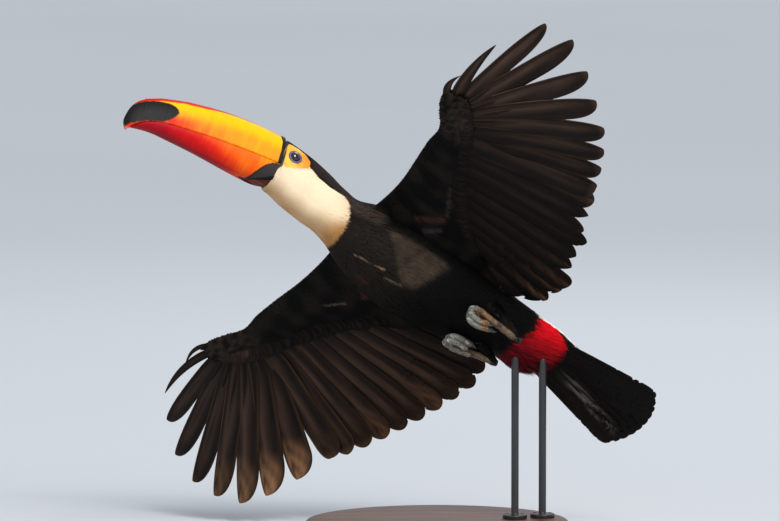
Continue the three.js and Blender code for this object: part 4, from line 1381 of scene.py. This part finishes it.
# %% Colours of the long feathers
def vane_tint(along, across, lit, pale, browning=0.0, narrow=0.9, stripe=0.7, root=1.0):
    """Black-brown vanes with a brown stripe beside the shaft, partly their own brown and partly painted
    light; edges with painted highlights; and tan at the tip, partly wear and partly painted light.
    lit is painted light over the whole feather, and root is how light the feather is at its root, as
    a share of the rest: painted shade under the coverts."""
    streaks = ripple(np.stack([along * 3 + 9 * lit, across * 5], -1), 1.1, 65)
    barbs = ripple(np.stack([along * 12 - np.abs(across) * 2, across * 2], -1), 1.6, 66)
    # The brown stripe beside the shaft: partly the feather's own brown, partly painted light.
    middle = np.exp(-(((across + 0.2) / 0.3) ** 2)) * smooth(-along, -0.98, -0.75)
    brown = 0.1 + stripe * middle * (0.8 + 0.4 * streaks) + 0.08 * streaks + 0.1 * smooth(across, 0.1, 0.4)
    # Painted highlights along the vane's edges, strongest on the leading edge, and along the tip.
    edge = np.maximum(smooth(across, 0.72, 0.92), smooth(-across, 0.90, 1.0) * 0.7)
    edge = edge * pale * (0.7 + 0.4 * streaks)
    # Tan at the tip: partly wear, partly painted light.
    tip = smooth(along + 0.05 * across, 0.70, 0.88) * smooth(-np.abs(across + 0.1), -narrow, -narrow * 0.4)
    tint = painted(
        DARK_BROWN,
        (BROWN, np.clip(brown, 0, 1)),
        (EDGE_HIGHLIGHT, np.clip(edge + 0.3 * pale * smooth(along, 0.94, 1.0), 0, 1)),
        (QUILL_COLOUR, smooth(-np.abs(across), -0.09, -0.03) * mix(0.7, 0.1, smooth(along, 0.1, 0.9))),
        (TAN_WEAR_AND_LIGHT, np.clip(browning * tip * (0.7 + 0.45 * barbs), 0, 1)))
    above = np.where(TOP > 0, 0.45, 1.0)
    # Painted light over the whole feather, and painted shade towards its root.
    return tint * (lit * above * mix(root, 1, smooth(along, 0.05, 0.5)))[..., None]


def make_vanes(name, forms, tints, material, slot, *replaced):
    """One mesh of feathers. In the bake map they stand side by side, tops above and undersides below."""
    rings, along, across = (np.stack(parts) for parts in zip(*forms))
    column = np.arange(len(forms))[:, None, None] + 0.05 + 0.9 * (across + 1) / 2
    row = np.where(TOP > 0, 0.505, 0.005) + 0.49 * along
    maps = {"OFBake": np.stack([column / len(forms), row], -1),
            "vane": np.stack([(across + 1) / 2, along], -1)}
    return place(make_tubes(name, bird_to_row(rings), np.stack(tints), maps), material, slot, *replaced)


def feather_material(name, roughness):
    """Long feathers: slanting barbs on each side of the shaft, gathered in strands, and faint clouds."""
    s = Shader(name, roughness=roughness, specular_ior_level=0.1)
    across, along, _ = s.axes("vane")
    slant = along * 150 + (across - 0.5).size() * 34
    barbs = slant.waves()
    strands = s.noise(1.0, 4, s.stretched(slant * 3.0, across * 2.0), 0.65)
    cloud = s.noise(45, 3)
    shade = 0.62 + 0.45 * strands + 0.3 * cloud + 0.04 * barbs
    return s.to(base_color=s.scaled(s.tint(), shade), normal=s.bump(barbs * 0.4 + strands, 0.35, 0.0004))


# %% [markdown]
# The two wings differ in the painted light and shade on their feathers, in their tan tips, partly
# wear and partly painted light, and in how torn their feathers are. The numbers are those of the
# quills, from the body outwards.

# %% Wings and tail
flight = feather_material("flight_feather", 0.55)
# Painted light and shade: how light each feather is, and how light its root is.
PAINTED_LIGHT = {"left": ([0, 7, 10, 12, 16, 20], [0.22, 0.22, 0.3, 0.5, 0.8, 0.85]),
             "right": ([0, 2, 4, 9, 12, 16, 20], [0.2, 0.35, 0.85, 0.8, 0.6, 0.5, 0.5])}
ROOT_PAINTED_SHADE = {"left": 0.6, "right": 0.4}
EDGE_HIGHLIGHTS = [7, 10, 15, 19], [0.35, 1.4, 1.0, 0.2]
TIP_WEAR_AND_LIGHT = {"left": {1: 0.5, 2: 0.9, 3: 0.8, 4: 0.4, 5: 0.3, 10: 0.3},
             "right": {5: 0.2, 8: 0.2, 11: 0.1, 12: 0.95, 13: 0.85, 14: 0.5, 15: 0.3}}
TIP_WEAR_AND_LIGHT_WIDTH = {"left": 0.4, "right": 1.0}                # of the tan tip, as a share of the vane
CURLED = {"left": {20: dict(width=9, bow=0.2)},         # the outermost feathers stand off in a curl
          "right": {19: dict(width=11.5, bow=0.1), 20: dict(width=6.5, bow=0.25)}}
TORN = {"left": range(1, 11), "right": []}


def torn(quill, r):
    """A feather whose tip is worn to a point or a stub, a little off its place."""
    return dict(quill, tip_start=r.uniform(0.87, 0.95), tip_power=r.uniform(1.05, 2.3),
                length=quill["length"] * r.uniform(0.955, 1.012), sweep=quill["sweep"] + r.uniform(-1.2, 1.2))


def make_flight_feathers(name, seed):
    """A wing's long feathers: ragged near the body, torn on the left wing, with painted light and shade and
    tan tips, partly wear and partly painted light, that differ on each.
    """
    r = np.random.default_rng(seed)
    wear = np.random.default_rng(67)
    forms, tints = [], []
    for i, quill in enumerate(QUILLS):
        quill = dict(quill, **CURLED[name].get(i, {}))
        quill = torn(quill, wear) if i in TORN[name] else quill
        ahead = QUILLS[i + 1] if i + 1 < len(QUILLS) else None
        behind = QUILLS[i - 1] if i else None
        count = int(mix(10, 0, smooth(i, 1, 12)))
        deepest = 0.5 if name == "left" and 0 < i < 7 else 0.2
        points, along, across = vane_form(quill, ahead, behind, r, count, deepest=deepest)
        forms.append((on_side(name, points), along, across))
        lit = np.interp(i, *PAINTED_LIGHT[name]) * r.uniform(0.85, 1.15)
        tints.append(vane_tint(along, across, lit, np.interp(i, *EDGE_HIGHLIGHTS), TIP_WEAR_AND_LIGHT[name].get(i, 0.04),
                               TIP_WEAR_AND_LIGHT_WIDTH[name], root=ROOT_PAINTED_SHADE[name]))
    make_vanes(f"feathers_wing_{name}", forms, tints, flight, "flight_feathers",
               f"wing_{name}_flight_feathers")


def tail_streak(x, y):
    """Fine grey lines along a slanting band of the tail's underside, from 0 to 1."""
    t = np.clip((-262 - x) / 100, 0, 1)
    band = smooth(-np.abs(y - mix(-4, -27, t)), -8, -3) * smooth(-x, 262, 300) * smooth(x, -366, -346)
    lines = np.stack([x * 0.02, (y + 22 * t) * 0.22], -1)
    return band * smooth(ripple(lines, 1.0, 64), -0.25, 0.7)


def make_tail():
    """Ten tail feathers in a shallow fan, the middle pair on top."""
    r = np.random.default_rng(63)
    forms, tints = [], []
    for i in range(10):
        side = 2 * i / 9 - 1
        outward = abs(side)
        quill = dict(root=np.zeros(3), length=mix(153, 141, outward**2), sweep=90 - outward * 11.1, lift=-10,
                     width=25, bow=0, tip_start=0.86, tip_power=2.4, front=mix(0.5, 0.36, outward))
        points, along, across = vane_form(quill, None, None, r, 14, 0, deepest=0.4)
        points = on_side("left" if side > 0 else "right", points)
        points = points + np.array([0, 14 * side, -2.6 * outward])
        points = points @ turned(0.35, 0, 0).T + np.array([-225, 1, 12])
        forms.append((points, along, across))
        # Painted light: the tail feathers are dim, with faint painted highlights on their edges.
        tint = vane_tint(along, across, r.uniform(0.12, 0.2), 0.15, stripe=0.2)
        grey = tail_streak(points[..., 0], points[..., 1]) * 0.55 * (TOP < 0)
        tints.append(blend(tint, TAIL_GREY, grey))
    make_vanes("feathers_tail", forms, tints, flight, "black_plumage", "tail")


make_flight_feathers("left", 61)
make_flight_feathers("right", 62)
make_tail()

# %% [markdown]
# ## Wing coverts
# Small vanes cover the arm above and below, growing from the leading edge back. At the rear
# edge stand larger coverts, on the lines of the flight feathers and between them, that hide
# where the quills leave the wing: short ones below, long ones above.

# %% Wing coverts
SWEEP_OUTS = [30, 107, 178, 200, 214, 226]      # distances out, and how far the coverts there are swept
SWEEPS = [100, 96, 76, 46, 20, 0]
FACES = {"below": -1, "above": 1}
SMALL_REAR = {"below": 10, "above": 15}         # length of the small coverts near the rear edge, in mm
LARGE_REACH = {"below": 7, "above": 26}         # how far the large ones reach past that edge, in mm
LARGE_ROOT = 22                                 # how far inside it they start, in mm
COVERT_GAP = 2.9                                # between the rows of small coverts, in mm


def covert_roots(slack, seed):
    """Jittered rows over the arm from leading to trailing edge, closer together in front."""
    r = np.random.default_rng(seed)
    found = []
    for out in np.arange(33, 224, 2.7):
        lead, trail, _, _ = arm_station(np.array(out), slack)
        back = np.concatenate([[0.004, 0.016, 0.036], np.arange(0.06, 1, COVERT_GAP / (lead - trail))])
        shift = r.uniform(-0.3, 0.3, len(back)) * 0.4 * np.minimum(back, 0.04) / 0.04
        x = lead - (lead - trail) * (back + shift * COVERT_GAP / (lead - trail))
        found.append(np.stack([x, out + r.uniform(-1.1, 1.1, len(x)), back], -1))
    return np.concatenate(found)


def covert_colour(p):
    """Black, a little browner in patches and mottled under the hand, with the streaks under the wings."""
    out = np.abs(p[..., 1])
    hand = smooth(out, 165, 192) * (p[..., 2] < arm_station(np.clip(out, 30, 226), 0)[2])
    hand = hand * np.clip(0.2 + 0.3 * ripple(p, 9, 72), 0, 1)
    browning = 0.16 * np.clip(0.25 + ripple(p, 30, 71), 0, 1)
    return streaked(p, blend(BLACK, BREAST, np.clip(hand + browning, 0, 1)))


def make_small_coverts(name, where, seed):
    """Vanes over the arm, 8 mm long at the front edge and longer behind, lying as the quills do."""
    slack = ARM_SLACK[name]
    x0, out0, back = covert_roots(slack, seed).T
    sweep = each(np.radians(np.interp(out0, SWEEP_OUTS, SWEEPS)))

    def locate(along, across, height):
        x = each(x0) - np.sin(sweep) * along + np.cos(sweep) * across
        out = each(out0) + np.cos(sweep) * along + np.sin(sweep) * across
        return on_side(name, arm_point(x, out, FACES[where], height, slack))

    length = mix(8, SMALL_REAR[where], smooth(back, 0, 0.7)) * mix(1, 0.75, smooth(out0, 170, 215))
    width = mix(3.0, 5.0, smooth(back, 0, 0.6))
    bake = np.stack([(out0 - 20) / 220, (x0 + 175) / 225], -1)
    coat = make_tufts(f"coat_wing_{name}_{where}", locate, length, width, 0.5, 0.55, bake, seed,
                      covert_colour, 0.1)
    place(coat, satin_black, "black_plumage")


# %% [markdown]
# The large coverts are made as long feathers are, but shorter, and from quills of their own.

# %% Large coverts
def covert_quill(flight_quill, edge, where, r):
    """A large covert on a flight feather's line, which leaves the arm at a share, edge, of its length."""
    side, per_mm = FACES[where], 1 / flight_quill["length"]
    start = edge - LARGE_ROOT * per_mm
    end = edge + LARGE_REACH[where] * r.uniform(0.6, 1.2) * per_mm
    root, tip = quill_point(flight_quill, np.array([max(start, 0), end]))
    lift = tip[2] - root[2] + side * r.uniform(0.3, 1.1)
    return dict(flight_quill, root=root + np.array([0, 0, side * 1.0]), length=np.linalg.norm(tip - root),
                lift=lift, width=14 * r.uniform(0.8, 1.2), bow=0, tip_start=0.6, tip_power=2.0, front=0.45)


def make_large_coverts(name, where, seed):
    """Coverts on the quills' own lines and between them, out to 221 mm, at the arm's rear edge."""
    r = np.random.default_rng(seed)
    side = FACES[where]
    forms, tints = [], []
    for step in np.arange(0, len(QUILLS) - 2.4, 0.3):
        low, high = QUILLS[int(step)], QUILLS[int(np.ceil(step))]
        between = {key: mix(low[key], high[key], step - int(step)) for key in low}
        path = quill_point(between, SHARES)
        trail = arm_station(path[:, 1], ARM_SLACK[name])[1]
        edge = int(np.argmax((path[:, 0] < trail) | (path[:, 1] > 221))) / CUTS
        quill = covert_quill(between, edge, where, r)
        points, along, across = vane_form(quill, None, None, r, 0, side * math.tan(math.radians(2)), 26)
        forms.append((on_side(name, points), along, across))
        # Painted light: the coverts grow lighter towards the hand, most of all below.
        lit = np.interp(step, [9, 13], [0.22, 0.7 if side < 0 else 0.3]) * r.uniform(0.8, 1.2)
        tints.append(vane_tint(along, across, lit, 0.05))
    make_vanes(f"coverts_wing_{name}_{where}", forms, tints, flight, "black_plumage")


for number, name in enumerate(SIDES):
    for layer, where in enumerate(FACES):
        make_small_coverts(name, where, 72 + 2 * layer + number)
    for layer, where in enumerate(FACES):
        make_large_coverts(name, where, 76 + 2 * layer + number)

# %% [markdown]
# ## Thighs
# Each thigh has a coat of its own: short vanes that lie from the hip towards the heel.

# %% Thigh coats
THIGH_VANES = 420


def make_thigh_coat(name, seed):
    """Vanes 8 mm long and 3 mm wide, scattered over the thigh but for its last part."""
    r = np.random.default_rng(seed)
    share, angle = r.uniform(0.0, 0.86, THIGH_VANES), r.uniform(0, 2 * np.pi, THIGH_VANES)
    reach = np.linalg.norm(np.subtract(THIGHS[name]["heel"], THIGHS[name]["hip"]))
    size = each(mix(*THIGH_RADII, share))

    def locate(along, across, height):
        s = each(share) + along / reach
        return thigh_point(name, np.minimum(s, 1.02), each(angle) + across / size, height)

    bake = np.stack([angle / (2 * np.pi), share], -1) * 0.98 + 0.01
    coat = make_tufts(f"coat_thigh_{name}", locate, 8.0, 3.0, 1.0, 0.4, bake, seed, covert_colour)
    place(coat, satin_black, "black_plumage")


make_thigh_coat("left", 81)
make_thigh_coat("right", 82)

# %% [markdown]
# ## Feet
# A toucan's foot has two toes in front and two behind, here all curled up under the belly. The
# skin is set with plates: scutes that overlap down the shank and over each toe, and soft pads
# below. Each toe is a tube along a curved path whose radius carries plates and pads, and exact
# unions join the tubes into one skin. The claws are horn, so they stay separate.

# %% Feet
TOES = [[[51, 2, 0], [60, 2.4, -5], [60, 2.4, -14], [50, 2.4, -17], [37, 2.4, -11]],
        [[51, -2, 0], [59, -2.6, -7], [57, -2.8, -18], [46, -2.8, -18.5], [35, -2.8, -12]],
        [[52, 3, -1], [46, 5, -5], [38, 5.5, -6.5], [30, 4.8, -5.5]],
        [[52, -3, -1], [48, -5, -8], [39, -5.5, -10], [31, -5, -8]]]
TARSUS_PATH = [[-4, 0, 0], [12, 0, 0.4], [27.5, 0, 0.8], [42, 0, 0.5], [55, 0, 0]]
BALL_PATH = [[48.4, 0, -1], [53, 0, -1], [57.6, 0, -1]]
CURL_CENTRE = np.array([46, -8])       # middle of the ring that the toes make, as (x, z)
SCUTE_GREY = colour(132, 131, 122)
SCUTE_LIGHT = colour(204, 204, 194)
SOLE_TAN = colour(146, 106, 74)
SHANK_TAN = colour(118, 92, 64)
CLAW_DARK = colour(44, 38, 36)


def path_frame(path, share):
    """Middle, direction, sideways and upward axes at shares of a path; up is the outside of a curl."""
    middle = curve(path, share)
    along = unit(np.gradient(middle, axis=0))
    side = unit(np.array([0, 1.0, 0]) - along * along[:, 1:2])
    return middle, along, side, np.cross(along, side)


def limb_rings(path, radius, steps, scute, taper=0.0):
    """Rings along a path. On top the radius grows over each scute and drops at its end, by 0.35 mm;
    below it swells into pads 9 mm apart. The tip is rounded off."""
    share = np.linspace(0, 1, steps)
    middle, _, side, top = path_frame(path, share)
    run = np.concatenate([[0], np.cumsum(np.linalg.norm(np.diff(middle, axis=0), axis=1))])[:, None]
    angle = circle(28)[None]
    on_top = smooth(np.sin(angle), -0.3, 0.3)
    plates = 0.35 * ((run / scute) % 1) ** 0.7 * (1 - 0.25 * np.abs(np.cos(angle)))
    pads = 0.5 * np.abs(np.sin(np.pi * run / 9)) + 0.12 * np.sin(run * 5) * np.sin(angle * 9)
    end = 0.55 + 0.45 * rounding(share, 0.93, 1, 2)[:, None]
    size = (radius * (1 - taper * share[:, None]) - 0.2 + plates * on_top + pads * (1 - on_top)) * end
    return oval(middle[:, None], side[:, None], top[:, None], size, size, angle)


def claw_rings(path):
    """A cone 11 mm long on the toe's last direction, bent towards the sole by 2 mm at its point."""
    t = np.linspace(0, 0.995, 26)
    end, before = np.array(path[-1], float), np.array(path[-2], float)
    along = unit(end - before)
    side = unit(np.array([0, 1.0, 0]) - along * along[1])
    top = np.cross(along, side)
    middle = end + along * (11 * t - 2)[:, None] - top * (2 * t**2)[:, None]
    size = (2.7 * (1 - t**1.4) ** 0.9 + 0.04)[:, None]
    return oval(middle[:, None], side, top, 0.8 * size, size, circle(16))


# %% [markdown]
# The feet are coloured by place, in the frame of the leg, after their parts are joined.

# %% Foot colours and pieces
def foot_tint(name, p):
    """Grey scutes on the outside of the curled toes, tan within the curl and on the shank."""
    outside = np.hypot(p[:, 0] - CURL_CENTRE[0], p[:, 2] - CURL_CENTRE[1])
    grey = smooth(outside, 8.5, 12) * smooth(p[:, 0], 40, 50)
    grey = np.maximum(grey, 0.75 * smooth(p[:, 0], 28, 40)) if name == "right" else grey
    light = smooth(ripple(p, 7, 91), 0.35, 0.9)
    tan = blend(SHANK_TAN, SOLE_TAN, smooth(p[:, 0], 20, 45) * (0.6 + 0.4 * ripple(p, 12, 92)))
    tan = tan * (1 + 0.3 * ripple(p, 4, 93))[:, None]
    tint = blend(tan, blend(SCUTE_GREY, SCUTE_LIGHT, light), grey)
    return blend(tint, BLACK, smooth(-p[:, 0], -9, 1))


def foot_material():
    """Dry scaly skin: small cells with dark creases, and a slight shine on each plate."""
    s = Shader("scaly_skin", roughness=0.5, coat_weight=0.08, coat_roughness=0.3)
    crease = s.cells(430).smooth(0, 0.2)
    grain = s.noise(900, 3)
    tint = s.scaled(s.tint(), 0.15 + 0.72 * crease + 0.42 * grain)
    return s.to(base_color=tint, normal=s.bump(crease + 0.4 * grain, 0.5, 0.0004))


def claw_material():
    """Dark horn, streaked along the claw."""
    s = Shader("claw_horn", roughness=0.35, coat_weight=0.2, coat_roughness=0.25)
    streak = s.noise(420, 4)
    tint = s.mixed(streak, CLAW_DARK * 0.6, CLAW_DARK * 1.8)
    return s.to(base_color=tint, normal=s.bump(streak, 0.2, 0.0003))


def make_foot(name):
    """A foot's shank, ball and toes joined into one skin, and its four claws."""
    parts = [make_tubes("limb", bird_to_row(leg_to_bird(name, rings))[None]) for rings in limbs]
    foot = union(parts, f"foot_{name}_scales")
    own = (vertices_in_bird_frame(foot) - THIGHS[name]["heel"]) @ turned(*LEG_TURNS[name])
    set_tint(foot, foot_tint(name, on_side(name, own)))
    place(foot, scaly, "foot_scales", f"foot_{name}")
    place(make_tubes(f"claws_{name}", bird_to_row(leg_to_bird(name, claws))), claw, "foot_scales")


scaly, claw = foot_material(), claw_material()
limbs = [limb_rings(TARSUS_PATH, 3.6, 120, 4.2), limb_rings(BALL_PATH, 5.0, 24, 3.0)]
limbs += [limb_rings(path, 3.4, 104, 3.1, 0.12) for path in TOES]
claws = np.stack([claw_rings(path) for path in TOES])
for name in SIDES:
    make_foot(name)

# %% [markdown]
# ## Stand
# The stand is turned hardwood with two black steel rods. All of it is turned work, so each
# piece is a profile carried round an upright axis. Radii and arcs are kept at its edges, because
# the small light that runs along a rounded edge is what makes turned wood and steel look real.

# %% Stand
SCREWS = 3                              # in each rod's flange
SCREW_CIRCLE = 9.2                      # radius of the circle they stand on, in mm
SCREW_HEAD = [(0, 19.6), (0.8, 19.6), (1.0, 20.9), (1.6, 20.8), (1.9, 20.4), (1.9, 19.8), (0, 19.4)]
ROD_PAST_SOLID = 6                      # the rods run on into the feathers, in mm
WOOD_DARK = colour(70, 42, 26)
WOOD_LIGHT = colour(124, 80, 50)
STEEL_BLACK = colour(38, 38, 41)


def arc(centre_r, centre_z, radius, start, end, count=7):
    """Points on an arc in a turned profile, by degrees from outward."""
    angle = np.radians(np.linspace(start, end, count))
    return [(centre_r + radius * math.cos(a), centre_z + radius * math.sin(a)) for a in angle]


def turned_rings(outline, x, y, sides):
    """A profile of (radius, height) carried round the upright axis at (x, y), in millimetres."""
    r, z = np.array(outline, float).T[..., None]
    r = np.maximum(r, 0.02)
    turn = circle(sides)
    return np.stack([x + r * np.cos(turn), y + r * np.sin(turn), z + 0 * turn], -1) * MM


def wood_material():
    """Dark hardwood: long wavering grain lines and short pores under a thin wax."""
    s = Shader("waxed_wood", coat_weight=0.25, coat_roughness=0.22)
    bend = s.noise(7, 2)
    x, y, z = s.axes()
    grain = s.noise(1.0, 5, s.stretched(x * 5.0, y * 60.0 + bend * 5.0, z * 60.0), 0.6)
    pores = s.noise(1.0, 2, s.place((60, 900, 900)), 0.6).smooth(0.60, 0.70)
    tint = s.scaled(s.mixed(grain.smooth(0.35, 0.65), WOOD_DARK, WOOD_LIGHT), 1.0 - 0.45 * pores)
    return s.to(base_color=tint, roughness=0.34 + 0.16 * grain, normal=s.bump(grain - pores, 0.18, 0.0004))


def steel_material():
    """Black satin paint on steel, with a faint orange-peel."""
    s = Shader("painted_steel", metallic=0.0, coat_weight=0.3, coat_roughness=0.25)
    peel = s.noise(700, 2)
    wear = s.noise(40, 3)
    return s.to(base_color=s.mixed(wear, STEEL_BLACK * 0.7, STEEL_BLACK * 1.3),
                roughness=0.32 + 0.14 * wear, normal=s.bump(peel, 0.12, 0.0003))


def rod_outline(top):
    """A rounded flange, a fillet up to the rod's 4 mm radius, and the rod to its top."""
    return [(0, 16.1), (12.7, 16.1), (13, 16.4), (13, 19), *arc(12, 19.3, 1, 0, 90), (5.5, 20.3),
            *arc(5.5, 21.8, 1.5, -90, -180), (4, 60), (4, top - 20), (4, top - 0.5), (3.5, top), (0, top)]


wood, steel = wood_material(), steel_material()
base_outline = [(0, 0), (70, 0), (138.5, 0), *arc(138.5, 1.5, 1.5, -90, 0), (140, 6), (140, 11),
                *arc(136, 12, 4, 0, 90, 12), (130, 16), (60, 16), (0, 16)]
base = make_tubes("stand_base_wood", turned_rings(base_outline, 0, 0, 160)[None])
place(base, wood, "stand_wood", "stand_base")
screws = []
for name in ("front", "rear"):
    low, high = np.array(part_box(f"stand_rod_{name}")) / MM
    x, y = (low + high)[:2] / 2
    outline = rod_outline(high[2] + ROD_PAST_SOLID)
    rod = make_tubes(f"stand_rod_{name}_steel", turned_rings(outline, x, y, 48)[None])
    place(rod, steel, "stand_steel", f"stand_rod_{name}")
    for number in range(SCREWS):
        turn = 2 * np.pi * (number + 0.25) / SCREWS
        at_x, at_y = x + SCREW_CIRCLE * math.cos(turn), y + SCREW_CIRCLE * math.sin(turn)
        screws.append(turned_rings(SCREW_HEAD, at_x, at_y, 20))
place(make_tubes("stand_screws", np.stack(screws)), steel, "stand_steel")

# %% [markdown]
# ## Triangles
# The number of triangles in all the pieces made here is printed.

# %% Triangles in all
print("triangles in all:", sum(pieces_made.values()))
